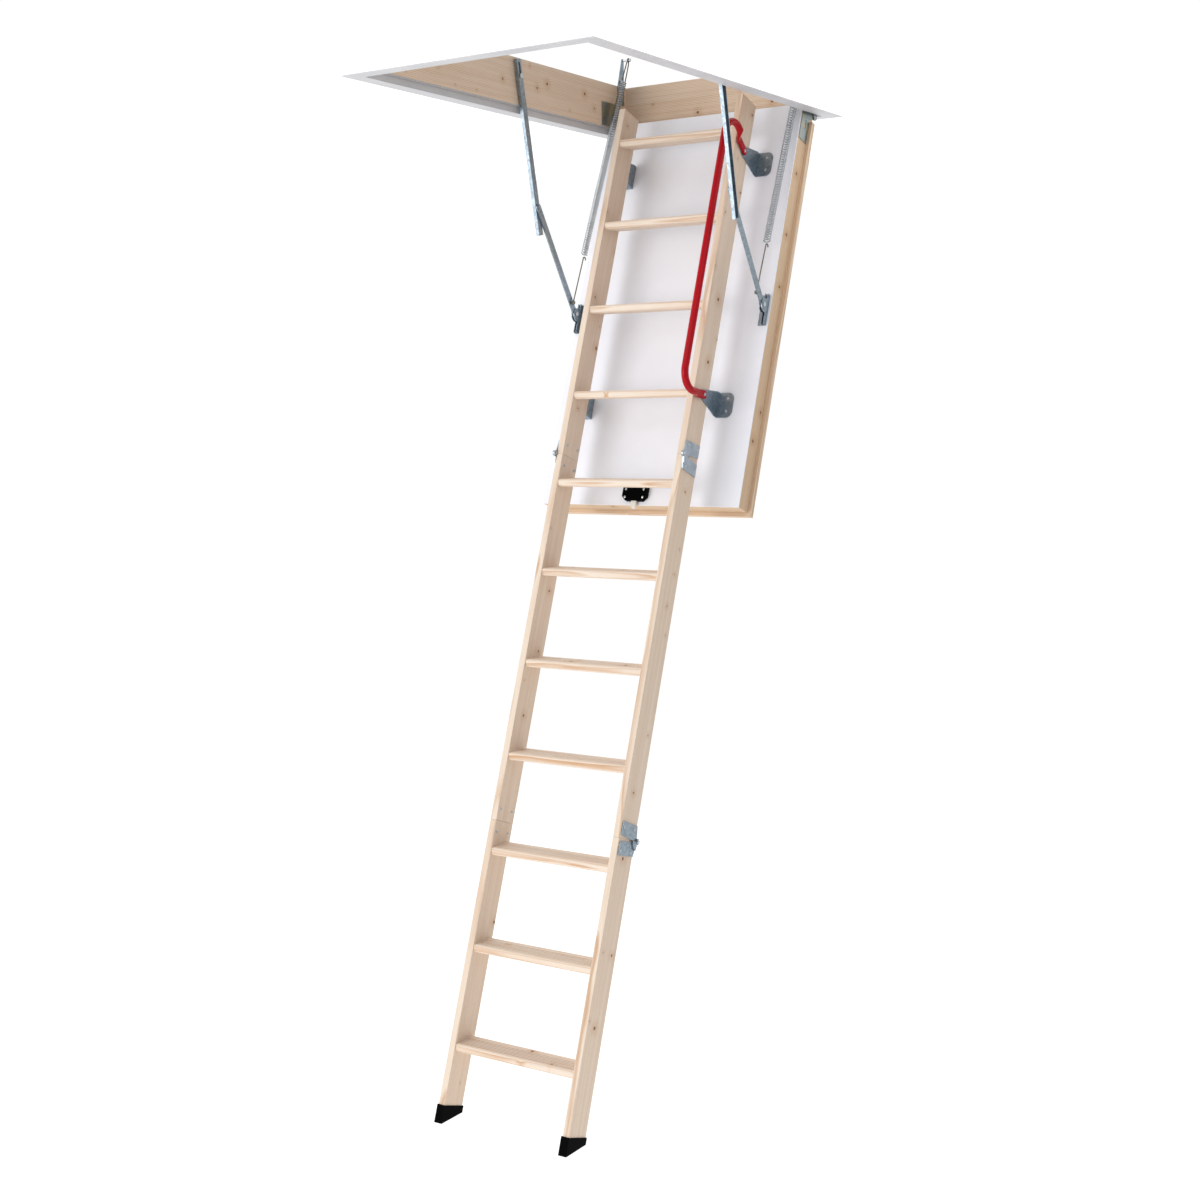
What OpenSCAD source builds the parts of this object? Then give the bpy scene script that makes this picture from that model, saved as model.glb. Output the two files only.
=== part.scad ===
// Folding attic ladder: a ceiling casing, an insulated hatch and a three-section wooden ladder.
// Millimetres. The origin is the centre of the clear opening, on the ceiling plane; +Z is up,
// +Y points to the hinged end and +X is to the climber's right. The parts lie as with the hatch
// open and the ladder unfolded. What rides on the hatch is drawn as if the hatch were closed
// and is then swung open about the hatch pivot.

/* [Casing] */
// Clear width between the long boards
opening_w = 650; // [600:1:800]
// Clear length between the end boards
opening_l = 1210; // [1190:1:1450]
// Thickness of the casing boards
board_t = 25; // [18:1:35]
// Height of the casing boards
board_h = 130; // [125:1:170]
// Width of the ceiling trim's flat leg
trim_leg = 42; // [30:1:60]
// Wall of the ceiling trim
trim_t = 2; // [1.5:0.5:3]
// Height of the trim's upstand, which is also the height of the boards above the ceiling
trim_up = 20; // [18:1:26]

/* [Hatch] */
// Angle that the hatch swings down to
open_angle = 70.7; // [62:0.1:76]
// Gap between the hatch block and the long boards
side_gap = 5; // [4.5:0.5:8]
// Gap between the hatch block and the front board
front_gap = 5; // [4:0.5:8]
// Gap between the hatch block and the back board
back_gap = 15; // [12:1:20]
// Thickness of the hatch block above the rebate
block_t = 53; // [45:1:58]
// Thickness of the rebate battens
rebate_t = 17; // [12:1:18]
// How far the rebate stands out past the block
rebate_lap = 10; // [8:0.5:12]
// Width of the hatch's stiles and rails
stile_w = 58; // [40:1:80]
// Thickness of the white panels
panel_t = 3; // [2.5:0.5:5]

/* [Ladder] */
// Width over the stringers
ladder_w = 410; // [340:1:440]
// Thickness of a stringer
stringer_t = 20; // [16:1:26]
// Depth of a stringer
stringer_d = 80; // [70:1:95]
// Gap between the hatch and the stringers
standoff = 58; // [40:1:75]
// Distance between treads along the stringers
tread_pitch = 258; // [255:1:268]
// Thickness of a tread
tread_t = 22; // [18:1:26]
// Depth of a tread
tread_d = 74; // [60:1:76]
// Depth of the housings that hold the treads
housing = 5; // [3:0.5:8]
// Length of the upper section above its folding pivot
upper_len = 1056; // [1000:1:1070]
// Distance between the two folding pivots
middle_len = 1032; // [1000:1:1060]
// Length of the lower section below its folding pivot, at the front edge
lower_len = 793; // [700:1:900]

/* [Ironwork] */
// Height of the folding arms' top bolts above the ceiling
arm_bolt_z = 98; // [80:1:110]
// Distance of the folding arms' top bolts from the back board
arm_bolt_back = 575; // [560:1:590]
// Length of an upper arm between its pivots
upper_arm_len = 364; // [360:1:375]
// Length of a lower arm between its pivots
lower_arm_len = 344; // [340:1:360]
// Width of the folding arms
arm_w = 20; // [16:1:24]
// Outer diameter of the springs
coil_d = 21; // [18:1:22]
// Height of the spring anchors above the ceiling
anchor_z = 228; // [210:1:250]
// Diameter of the handrail tube
rail_d = 20; // [16:1:22]
// Height of the handrail above the ladder's front
rail_rise = 96; // [80:1:110]

/* [Hidden] */
$fn = 48;

// Casing
half_w = opening_w / 2;
half_l = opening_l / 2;
board_z = trim_up;
trim_reveal = 8;

// Hatch, as closed
block_half_w = half_w - side_gap;
block_front = -half_l + front_gap;
block_back = half_l - back_gap;
rebate_z = -trim_t;
block_z = rebate_z + rebate_t;
hatch_z = block_z + block_t;
pivot_y = block_back - 5;
pivot_z = rebate_z - 6;
plate_t = 2;

// Ladder, as folded up on the closed hatch: "front" is the climber's side, here the top
ladder_back = hatch_z + standoff;
ladder_front = ladder_back + stringer_d;
fold_y = block_front + 107;
fold_off = 5;
seam = 0.5;
tread_top_drop = 7;
first_tread = 163;
half_ladder = ladder_w / 2;
lower_fold_y = fold_y - middle_len;
floor_y = lower_fold_y - lower_len;
leaf_t = 3;
leaf_gap = 0.3;
cap_wall = 2;
cap_h = 46;
cap_gap = 0.1;

// Folding arms: A is the top bolt, B the pivot on the hatch, K the knee between them
bracket_y = pivot_y - 612;
bracket_rise = 28;
function swing_y(y, z) = pivot_y + (y - pivot_y) * cos(open_angle) - (z - pivot_z) * sin(open_angle);
function swing_z(y, z) = pivot_z + (y - pivot_y) * sin(open_angle) + (z - pivot_z) * cos(open_angle);
a_pt = [half_l - arm_bolt_back, arm_bolt_z];
b_pt = [swing_y(bracket_y, hatch_z + bracket_rise), swing_z(bracket_y, hatch_z + bracket_rise)];
ab = norm(b_pt - a_pt);
along = (ab * ab + upper_arm_len * upper_arm_len - lower_arm_len * lower_arm_len) / (2 * ab);
across = sqrt(upper_arm_len * upper_arm_len - along * along);
ab_dir = (b_pt - a_pt) / ab;
knee_side = [ab_dir[1], -ab_dir[0]];
k_pt = a_pt + along * ab_dir + across * knee_side;
arm_x = half_w - 13;
arm_wall = 2;
flat_t = 4;
arm_play = 0.5;
bolt_r = 4;
fit = 0.05;

// Springs: from the anchor pin to a stud on the lower arm, just above its pivot
stud_up = 38;
stud_pt = b_pt + stud_up * (k_pt - b_pt) / lower_arm_len;
anchor_pt = [pivot_y - 1, anchor_z];
spring_x = half_w - 23;
spring_dir = (stud_pt - anchor_pt) / norm(stud_pt - anchor_pt);
spring_len = norm(stud_pt - anchor_pt);
spring_tilt = atan2(spring_dir[0], -spring_dir[1]);
top_hook = 72;
rod_len = 150;
wire_r = 1.75;
pin_r = 3;

// Ladder brackets and handrail
bracket_ys = [fold_y + 184, fold_y + 904];
bracket_w = 72;
rivet_z = ladder_back + 32;
rail_x = half_ladder + 20;
rail_z = ladder_front + rail_rise;
bend_r = 50;

pine = [0.86, 0.71, 0.52];
pine_dark = [0.78, 0.62, 0.44];
zinc = [0.66, 0.70, 0.74];
white = [0.93, 0.93, 0.94];

// Placing

// Swings what is drawn for the closed hatch down to the open hatch
module on_hatch() {
    translate([0, pivot_y, pivot_z])
        rotate([open_angle, 0, 0])
            translate([0, -pivot_y, -pivot_z])
                children();
}

// Repeats a piece drawn on the +X side on both sides
module both_sides() {
    children();
    mirror([1, 0, 0]) children();
}

// Extrudes an outline drawn in (Y, Z) along X from x0 by the given thickness
module plate_x(x0, thickness) {
    translate([x0, 0, 0])
        rotate([90, 0, 90])
            linear_extrude(height = thickness)
                children();
}

// A round bar along X
module bar_x(x0, length, y, z, radius) {
    translate([x0, y, z])
        rotate([0, 90, 0])
            cylinder(h = length, r = radius);
}

// A bar with round ends between two points of an outline
module link_outline(p, q, width) {
    d = q - p;
    translate(p)
        rotate(atan2(d[1], d[0])) {
            translate([0, -width / 2]) square([norm(d), width]);
            circle(d = width);
            translate([norm(d), 0]) circle(d = width);
        }
}

// Casing

corner_rows = [board_z + 28, board_z + board_h - 28];
screw_r = 2.5;
screw_len = 70;

// Screws through the long boards into the end boards, with their heads sunk flush
module corner_screw_set() {
    for (sx = [-1, 1], sy = [-1, 1], z = corner_rows)
        translate([sx * (half_w + board_t), sy * (half_l + board_t / 2), z])
            rotate([0, -sx * 90, 0]) {
                cylinder(h = screw_len, r = screw_r);
                cylinder(h = 3, r = 2 * screw_r);
            }
}

module corner_screws() {
    color("silver") corner_screw_set();
}

module long_board(side) {
    color(pine)
        difference() {
            translate([side > 0 ? half_w : -half_w - board_t, -half_l - board_t, board_z])
                cube([board_t, opening_l + 2 * board_t, board_h]);
            corner_screw_set();
        }
}

module right_long_board() {
    long_board(1);
}

module left_long_board() {
    long_board(-1);
}

module end_board() {
    difference() {
        translate([-half_w, half_l, board_z]) cube([opening_w, board_t, board_h]);
        corner_screw_set();
    }
}

module back_board() {
    color(pine) end_board();
}

module front_board() {
    color(pine)
        difference() {
            mirror([0, 1, 0]) end_board();
            translate([latch_x - keeper_w / 2, -half_l - keeper_depth, keeper_z - keeper_h / 2])
                cube([keeper_w, keeper_depth + 1, keeper_h]);
        }
}

// A length of L-shaped ceiling trim along Y, for the +X side, with mitred ends
module trim_length(half_across, half_along) {
    inner = half_across + trim_reveal;
    outer = inner + trim_leg;
    run = half_along + trim_reveal;
    reach = trim_leg + run;
    intersection() {
        translate([inner, -reach, 0])
            union() {
                translate([0, 0, -trim_t]) cube([trim_leg, 2 * reach, trim_t]);
                translate([0, 0, -trim_t]) cube([trim_t, 2 * reach, trim_t + trim_up]);
            }
        translate([0, 0, -trim_t - 1])
            linear_extrude(height = trim_up + trim_t + 2)
                polygon([[inner, -run], [outer, -reach], [outer, reach], [inner, run]]);
    }
}

module right_trim() {
    color(white) trim_length(half_w, half_l);
}

module left_trim() {
    color(white) mirror([1, 0, 0]) trim_length(half_w, half_l);
}

module back_trim() {
    color(white) mirror([1, -1, 0]) trim_length(half_l, half_w);
}

module front_trim() {
    color(white) mirror([0, 1, 0]) mirror([1, -1, 0]) trim_length(half_l, half_w);
}

// Rubber strip under the boards, which the rebate closes against
seal_w = 5;
seal_h = 3.5;

module casing_seal() {
    seal_out = 1 + seal_w;
    color([0.2, 0.2, 0.2])
        translate([0, 0, board_z - seal_h])
            linear_extrude(height = seal_h)
                difference() {
                    square([opening_w + 2 * seal_out, opening_l + 2 * seal_out], center = true);
                    square([opening_w + 2, opening_l + 2], center = true);
                }
}

// Hatch hinges: an ear of each plate reaches the pin below the ceiling line
ear_r = 9;
hinge_pin_r = 4;

module casing_hinge_outline() {
    difference() {
        union() {
            polygon([[pivot_y - 119, board_z + 2], [pivot_y - 119, board_z + 72],
                     [pivot_y - 46, board_z + 72], [pivot_y + ear_r, board_z + 12],
                     [pivot_y + ear_r, pivot_z], [pivot_y - ear_r, pivot_z],
                     [pivot_y - 20, board_z + 2]]);
            translate([pivot_y, pivot_z]) circle(r = ear_r);
        }
        translate([pivot_y, pivot_z]) circle(r = hinge_pin_r + fit);
        for (p = hinge_screw_places) translate(p) circle(r = screw_r);
    }
}

hinge_screw_places = [[pivot_y - 105, board_z + 58], [pivot_y - 105, board_z + 20],
                      [pivot_y - 60, board_z + 50]];

module casing_hinges() {
    color([0.62, 0.66, 0.60])
        both_sides() {
            plate_x(half_w - plate_t, plate_t) casing_hinge_outline();
            for (p = hinge_screw_places)
                bar_x(half_w - plate_t - 0.8, plate_t + 0.8, p[0], p[1], screw_r + 0.8);
        }
}

module hinge_pins() {
    color("silver")
        both_sides() {
            bar_x(block_half_w - 3, side_gap + 3 - 0.4, pivot_y, pivot_z, hinge_pin_r);
        }
}

// Upright tapered strap on each long board, which carries a spring's upper end
anchor_t = 3;

module anchor_outline() {
    difference() {
        union() {
            polygon([[anchor_pt[0] - 28, board_z + 74], [anchor_pt[0] + 6, board_z + 74],
                     [anchor_pt[0] + 5, anchor_z], [anchor_pt[0] - 5, anchor_z],
                     [anchor_pt[0] - 28, board_z + board_h]]);
            translate(anchor_pt) circle(r = 6);
        }
        translate(anchor_pt) circle(r = pin_r);
    }
}

module spring_anchors() {
    color("gray")
        both_sides() {
            plate_x(half_w - anchor_t, anchor_t) anchor_outline();
            bar_x(half_w - anchor_t - 5, 5, anchor_pt[0] - 15, anchor_z - 66, 6);
        }
}

module spring_anchor_pins() {
    color("silver")
        both_sides() {
            bar_x(spring_x - 5, half_w - spring_x + 5, anchor_pt[0], anchor_pt[1], pin_r);
            bar_x(spring_x - 7, 2, anchor_pt[0], anchor_pt[1], pin_r + 2);
        }
}

// Latch: a case on the hatch, its sliding bolt, and a keeper let into the front board
latch_x = -8;
latch_w = 78;
latch_l = 43;
latch_h = 14;
latch_inset = 10;
bolt_w = 16;
bolt_h = 8;
bolt_out = 22;
bolt_z = hatch_z + 3;
bolt_in = 24;
keeper_w = 24;
keeper_h = 16;
keeper_depth = 14;
keeper_z = bolt_z + bolt_h / 2;

module latch_keeper() {
    color("silver")
        difference() {
            translate([latch_x - keeper_w / 2, -half_l - keeper_depth, keeper_z - keeper_h / 2])
                cube([keeper_w, keeper_depth, keeper_h]);
            translate([latch_x - keeper_w / 2 + 2, -half_l - keeper_depth + 2, keeper_z - keeper_h / 2 + 2])
                cube([keeper_w - 4, keeper_depth, keeper_h - 4]);
        }
}

// Hatch

module hatch_stile(side) {
    translate([side > 0 ? block_half_w - stile_w : -block_half_w, block_front, block_z])
        cube([stile_w, block_back - block_front, block_t - panel_t]);
}

module hatch_left_stile() {
    color(pine_dark) on_hatch() hatch_stile(-1);
}

module hatch_right_stile() {
    color(pine_dark) on_hatch() hatch_stile(1);
}

module hatch_rail(y) {
    translate([-block_half_w + stile_w, y, block_z])
        cube([2 * (block_half_w - stile_w), stile_w, block_t - panel_t]);
}

module hatch_front_rail() {
    color(pine_dark) on_hatch() hatch_rail(block_front);
}

module hatch_back_rail() {
    color(pine_dark) on_hatch() hatch_rail(block_back - stile_w);
}

module hatch_core() {
    inner = block_half_w - stile_w;
    color([0.95, 0.95, 0.90])
        on_hatch()
            translate([-inner, block_front + stile_w, block_z])
                cube([2 * inner, block_back - block_front - 2 * stile_w, block_t - panel_t]);
}

module hatch_top_panel() {
    color(white)
        on_hatch()
            translate([-block_half_w, block_front, hatch_z - panel_t])
                cube([2 * block_half_w, block_back - block_front, panel_t]);
}

// The room-side panel lies inside the rebate battens
batten_w = 45;
back_lap = 3;

module rebate_inner(grow) {
    inner = block_half_w + rebate_lap - batten_w + grow;
    translate([-inner, block_front - rebate_lap + batten_w - grow])
        square([2 * inner, block_back - block_front + rebate_lap + back_lap - 2 * batten_w + 2 * grow]);
}

module hatch_bottom_panel() {
    color(white)
        on_hatch()
            translate([0, 0, rebate_z])
                linear_extrude(height = rebate_t)
                    rebate_inner(0);
}

// One mitred batten frame; its side laps stop short of the hinges
module hatch_rebate() {
    outer = block_half_w + rebate_lap;
    color(pine)
        on_hatch()
            translate([0, 0, rebate_z])
                linear_extrude(height = rebate_t)
                    difference() {
                        translate([-outer, block_front - rebate_lap])
                            square([2 * outer, block_back - block_front + rebate_lap + back_lap]);
                        rebate_inner(0);
                        for (side = [-1, 1])
                            translate([side * (block_half_w + rebate_lap), pivot_y])
                                square([2 * rebate_lap, 2 * 26], center = true);
                    }
}

module hatch_hinge_outline() {
    difference() {
        union() {
            polygon([[pivot_y - 95, block_z + 3], [pivot_y - 95, hatch_z - 5],
                     [pivot_y - 6, hatch_z - 5], [pivot_y + 3, hatch_z - 18],
                     [pivot_y + ear_r, pivot_z], [pivot_y - ear_r, pivot_z],
                     [pivot_y - 18, block_z + 3]]);
            translate([pivot_y, pivot_z]) circle(r = ear_r);
        }
        translate([pivot_y, pivot_z]) circle(r = hinge_pin_r + fit);
        translate([pivot_y - 58, block_z + 20]) square([26, 7]);
    }
}

module hatch_hinges() {
    color([0.62, 0.66, 0.60])
        on_hatch()
            both_sides() {
                plate_x(block_half_w, plate_t) hatch_hinge_outline();
            }
}

// Clevis brackets for the lower arms
clevis_gap = flat_t + 1;
clevis_wall = 2.5;
clevis_len = 88;
clevis_x = arm_x - arm_play - flat_t - 0.5;

module arm_brackets() {
    color(zinc)
        on_hatch()
            both_sides()
                difference() {
                    union() {
                        translate([clevis_x - clevis_wall - 14, bracket_y - 51, hatch_z])
                            cube([14 + 2 * clevis_wall + clevis_gap, clevis_len, clevis_wall]);
                        for (x = [clevis_x - clevis_wall, clevis_x + clevis_gap])
                            plate_x(x, clevis_wall) {
                                translate([bracket_y - 51, hatch_z]) square([clevis_len, 14]);
                                translate([bracket_y - 20, hatch_z]) square([40, 20]);
                                translate([bracket_y, hatch_z + 20]) circle(r = 20);
                            }
                    }
                    bar_x(0, half_w, bracket_y, hatch_z + bracket_rise, bolt_r + fit);
                }
}

module latch_case() {
    chamfer = 12;
    bevel_y = block_front + latch_inset;
    x0 = latch_x - latch_w / 2;
    color([0.12, 0.12, 0.12])
        on_hatch()
            difference() {
                translate([0, 0, hatch_z])
                    linear_extrude(height = latch_h)
                        polygon([[x0 + chamfer, bevel_y], [x0 + latch_w - chamfer, bevel_y],
                                 [x0 + latch_w, bevel_y + chamfer], [x0 + latch_w, bevel_y + latch_l],
                                 [x0, bevel_y + latch_l], [x0, bevel_y + chamfer]]);
                translate([latch_x - bolt_w / 2 - 0.3, block_front, bolt_z - 0.3])
                    cube([bolt_w + 0.6, latch_inset + bolt_in + 12.5, bolt_h + 0.6]);
                for (p = latch_screws) translate([p[0], p[1], hatch_z - 1]) cylinder(h = 20, r = screw_r);
            }
}

latch_screws = [for (dx = [-29, 29], dy = [10, 33]) [latch_x + dx, block_front + latch_inset + dy]];

module latch_bolt() {
    tip = block_front + latch_inset - bolt_out;
    color([0.88, 0.88, 0.85])
        on_hatch()
            translate([latch_x, 0, bolt_z])
                linear_extrude(height = bolt_h) {
                    translate([-bolt_w / 2, tip + bolt_w / 2])
                        square([bolt_w, bolt_out + bolt_in - bolt_w / 2]);
                    translate([0, tip + bolt_w / 2]) circle(d = bolt_w);
                }
}

// Ladder brackets: a foot on the hatch and an upright along each stringer

module angle_upright() {
    difference() {
        union() {
            translate([-bracket_w / 2, hatch_z]) square([bracket_w, 14]);
            polygon([[-bracket_w / 2, hatch_z + 14], [bracket_w / 2, hatch_z + 14],
                     [15, rivet_z], [-15, rivet_z]]);
            translate([0, rivet_z]) circle(r = 15);
        }
        translate([0, rivet_z]) circle(r = screw_r);
    }
}

module angle_brackets() {
    foot = 30;
    color(zinc)
        on_hatch()
            both_sides()
                for (y = bracket_ys)
                    translate([0, y, 0]) {
                        plate_x(half_ladder, leaf_t) angle_upright();
                        translate([half_ladder, 0, hatch_z])
                            linear_extrude(height = leaf_t)
                                difference() {
                                    union() {
                                        translate([0, -bracket_w / 2]) square([foot, bracket_w]);
                                        for (dy = [-1, 1])
                                            translate([foot, dy * (bracket_w / 2 - 18)]) circle(r = 18);
                                        translate([foot - 1, -bracket_w / 2 + 18])
                                            square([19, bracket_w - 36]);
                                    }
                                    for (dy = [-1, 1]) translate([foot, dy * 18]) circle(r = screw_r);
                                }
                    }
}

// Handrail: a straight run, a bend at each end, and flattened ends riveted to the brackets
lower_turn = 103;
upper_turn = 113;
flat_end = 26;
end_cover = flat_end - 4;

low_end_run = (rail_z - bend_r + bend_r * cos(lower_turn) - rivet_z) / sin(lower_turn);
high_end_run = (rail_z - bend_r + bend_r * cos(upper_turn) - rivet_z) / sin(upper_turn);
low_centre_y = bracket_ys[0] + bend_r * sin(lower_turn) + low_end_run * cos(lower_turn);
high_centre_y = bracket_ys[1] - bend_r * sin(upper_turn) - high_end_run * cos(upper_turn);

// The tube as a chain of straights and bends; each straight runs a little way into its bends
module rail_path() {
    bend_z = rail_z - bend_r;
    into = 1;
    translate([rail_x, low_centre_y - into, rail_z])
        rotate([-90, 0, 0])
            cylinder(h = high_centre_y - low_centre_y + 2 * into, r = rail_d / 2);
    translate([rail_x, low_centre_y, bend_z])
        rotate([90, 0, 90])
            rotate(90)
                rail_bend(lower_turn);
    translate([rail_x, low_centre_y, bend_z])
        rotate([lower_turn, 0, 0])
            translate([0, into, bend_r])
                rotate([90, 0, 0])
                    cylinder(h = low_end_run + into - end_cover, r = rail_d / 2);
    translate([rail_x, high_centre_y, bend_z])
        rotate([90, 0, 90])
            rotate(90 - upper_turn)
                rail_bend(upper_turn);
    translate([rail_x, high_centre_y, bend_z])
        rotate([-upper_turn, 0, 0])
            translate([0, -into, bend_r])
                rotate([-90, 0, 0])
                    cylinder(h = high_end_run + into - end_cover, r = rail_d / 2);
}

// A bend, drawn a hair thicker than the tube, as a bent tube swells
module rail_bend(turn) {
    rotate_extrude(angle = turn)
        translate([bend_r, 0]) circle(r = rail_d / 2 + 0.2);
}

// A flattened end and its rivet, from the bracket out to the tube
module rail_end(y, turn) {
    flat_x = half_ladder + leaf_t;
    plate_x(flat_x, rail_x - flat_x - rail_d / 2 + 5)
        difference() {
            translate([y, rivet_z])
                rotate(turn)
                    union() {
                        circle(d = flat_end - 2);
                        translate([0, -flat_end / 2 + 1]) square([flat_end, flat_end - 2]);
                    }
            translate([y, rivet_z]) circle(r = screw_r);
        }
}

module handrail() {
    color([0.68, 0.05, 0.12])
        on_hatch() {
            rail_path();
            rail_end(bracket_ys[0], lower_turn);
            rail_end(bracket_ys[1], 180 - upper_turn);
        }
}

// Screws and rivets that ride on the hatch
module hatch_screws() {
    color("silver")
        on_hatch() {
            for (p = latch_screws)
                translate([p[0], p[1], hatch_z + latch_h]) cylinder(h = 1.2, r = 3.6);
            both_sides()
                for (y = bracket_ys, dy = [-18, 18])
                    translate([half_ladder + 30, y + dy, hatch_z + leaf_t]) cylinder(h = 1.6, r = 4.5);
            for (y = bracket_ys) {
                bar_x(rail_x - rail_d / 2 + 5, 2, y, rivet_z, 5);
                mirror([1, 0, 0]) bar_x(half_ladder + leaf_t, 2, y, rivet_z, 5);
            }
            leaf_screws(upper_leaf_screws);
        }
}

// Folding arms

module upper_arm() {
    x0 = arm_x;
    tail = 78;
    head = 46;
    d = (k_pt - a_pt) / upper_arm_len;
    p = a_pt - head * d;
    q = k_pt + tail * d;
    slot_end = a_pt - (head - 12) * d;
    difference() {
        plate_x(x0, 10) link_flat(p, q, arm_w);
        plate_x(x0 + arm_wall, 10) link_flat(p - d, q + d, arm_w - 2 * arm_wall);
        plate_x(x0 - 1, arm_wall + 2) link_outline(a_pt, slot_end, 2 * bolt_r + 2 * fit);
    }
    bar_x(x0 + 1, arm_wall + 1, k_pt[0], k_pt[1], 6.5);
}

// A bar with square ends between two points of an outline
module link_flat(p, q, width) {
    d = q - p;
    translate(p)
        rotate(atan2(d[1], d[0]))
            translate([0, -width / 2]) square([norm(d), width]);
}

module right_upper_arm() {
    color(zinc) upper_arm();
}

module left_upper_arm() {
    color(zinc) mirror([1, 0, 0]) upper_arm();
}

module lower_arm() {
    x0 = arm_x - arm_play - flat_t;
    difference() {
        plate_x(x0, flat_t) link_outline(k_pt, b_pt, arm_w);
        bar_x(x0 - 1, flat_t + 2, b_pt[0], b_pt[1], bolt_r + fit);
    }
    bar_x(x0 - 2, 3, k_pt[0], k_pt[1], 6.5);
}

module right_lower_arm() {
    color(zinc) lower_arm();
}

module left_lower_arm() {
    color(zinc) mirror([1, 0, 0]) lower_arm();
}

module arm_top_bolts() {
    color("silver")
        both_sides() {
            bar_x(arm_x - 4, half_w - arm_x + 4, a_pt[0], a_pt[1], bolt_r);
            bar_x(arm_x - 4, 3.5, a_pt[0], a_pt[1], 7);
            bar_x(arm_x + arm_wall + arm_play, half_w - arm_x - arm_wall - arm_play, a_pt[0], a_pt[1], 7.5);
        }
}

module bracket_bolts() {
    outer = clevis_x + clevis_gap + clevis_wall;
    color("silver")
        both_sides() {
            bar_x(clevis_x - clevis_wall - 3, outer - clevis_x + clevis_wall + 5, b_pt[0], b_pt[1], bolt_r);
            bar_x(clevis_x - clevis_wall - 3.3, 3, b_pt[0], b_pt[1], 6.5);
            bar_x(outer + 0.3, 2, b_pt[0], b_pt[1], 6.5);
        }
}

// Springs, drawn hanging straight down from the anchor and tilted to the stud

module on_spring() {
    translate([spring_x, anchor_pt[0], anchor_pt[1]])
        rotate([spring_tilt, 0, 0])
            children();
}

module spring_body() {
    coil_len = spring_len - top_hook - rod_len - 2;
    eye_r = pin_r + wire_r + 0.3;
    on_spring() {
        rotate([0, 90, 0])
            rotate_extrude()
                translate([eye_r, 0]) circle(r = wire_r);
        for (side = [-1, 1])
            translate([0, side * eye_r, 0])
                rotate([side * atan2(coil_d / 2 - wire_r - eye_r, top_hook), 0, 0])
                    translate([0, 0, -top_hook - 2]) cylinder(h = top_hook + 2, r = wire_r);
        translate([0, 0, -top_hook - coil_len])
            difference() {
                cylinder(h = coil_len, d = coil_d);
                translate([0, 0, -1]) cylinder(h = coil_len + 2, d = coil_d - 7);
            }
    }
}

module right_spring() {
    color("gainsboro") spring_body();
}

module left_spring() {
    color("gainsboro") mirror([1, 0, 0]) spring_body();
}

// Wire rod with a hook at the coil and an eye on its stud; the stud's end just clears the arm
module spring_rod() {
    eye_r = pin_r + wire_r - 0.2;
    hook_r = 6;
    stud_end = arm_x - arm_play - flat_t - arm_play;
    bar_x(spring_x - wire_r - 1, stud_end - spring_x + wire_r + 1, stud_pt[0], stud_pt[1], pin_r);
    bar_x(spring_x - wire_r - 2.5, 1.7, stud_pt[0], stud_pt[1], pin_r + 2);
    on_spring()
        translate([0, 0, -spring_len]) {
            rotate([0, 90, 0])
                rotate_extrude()
                    translate([eye_r, 0]) circle(r = wire_r);
            translate([0, 0, eye_r]) cylinder(h = rod_len - eye_r - hook_r, r = wire_r);
            translate([0, hook_r, rod_len - hook_r - 0.5])
                rotate([0, -90, 0])
                    rotate(-90)
                        rotate_extrude(angle = 180)
                            translate([hook_r, 0]) circle(r = wire_r + 0.15);
        }
}

module right_spring_rod() {
    color("gray") spring_rod();
}

module left_spring_rod() {
    color("gray") mirror([1, 0, 0]) spring_rod();
}

// Ladder

// A tread's end outline, level on the open ladder; its bottom front edge is the origin
module tread_outline(grow) {
    r = 8 + grow;
    translate([-grow, -grow]) {
        translate([r, 0]) square([tread_d + 2 * grow - r, tread_t + 2 * grow]);
        translate([0, r]) square([r + 1, tread_t + 2 * grow - 2 * r]);
        translate([r, r]) circle(r = r);
        translate([r, tread_t + 2 * grow - r]) circle(r = r);
    }
}

module tread_grooves() {
    for (i = [0 : 5])
        translate([11 + 8 * i, tread_t - 1.2]) square([2.5, 3]);
}

// Places an outline at a tread: y is measured along the ladder from the upper fold
module at_tread(along_y) {
    translate([along_y, ladder_front - tread_top_drop])
        rotate(-open_angle)
            children();
}

module tread(along_y) {
    length = ladder_w - 2 * stringer_t + 2 * housing;
    plate_x(-length / 2, length)
        at_tread(fold_y + along_y)
            difference() {
                tread_outline(0);
                tread_grooves();
            }
}

upper_tread_ys = [for (i = [0 : 3]) first_tread + i * tread_pitch];
middle_tread_ys = [for (i = [1 : 4]) first_tread - i * tread_pitch];
lower_tread_ys = [for (i = [5 : 7]) first_tread - i * tread_pitch];

module tread_set(ys) {
    color([0.88, 0.74, 0.55])
        on_hatch()
            for (y = ys) tread(y);
}

module upper_treads() {
    tread_set(upper_tread_ys);
}

module middle_treads() {
    tread_set(middle_tread_ys);
}

module lower_treads() {
    tread_set(lower_tread_ys);
}

// A right stringer from y0 to y1, with its tread housings and bolt holes
module stringer(y0, y1, ys, screws) {
    x0 = half_ladder - stringer_t;
    difference() {
        translate([x0, y0, ladder_back]) cube([stringer_t, y1 - y0, stringer_d]);
        for (y = ys)
            plate_x(x0 - 1, housing + 1)
                at_tread(fold_y + y)
                    tread_outline(fit);
        for (p = screws) bar_x(x0 - 1, stringer_t + 2, p[0], p[1], screw_r);
    }
}

module upper_stringer() {
    stringer(fold_y + seam / 2, fold_y + upper_len, upper_tread_ys, upper_leaf_screws);
}

module middle_stringer() {
    stringer(lower_fold_y + seam / 2, fold_y - seam / 2, middle_tread_ys,
             concat(middle_leaf_screws, middle_low_screws));
}

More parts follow.
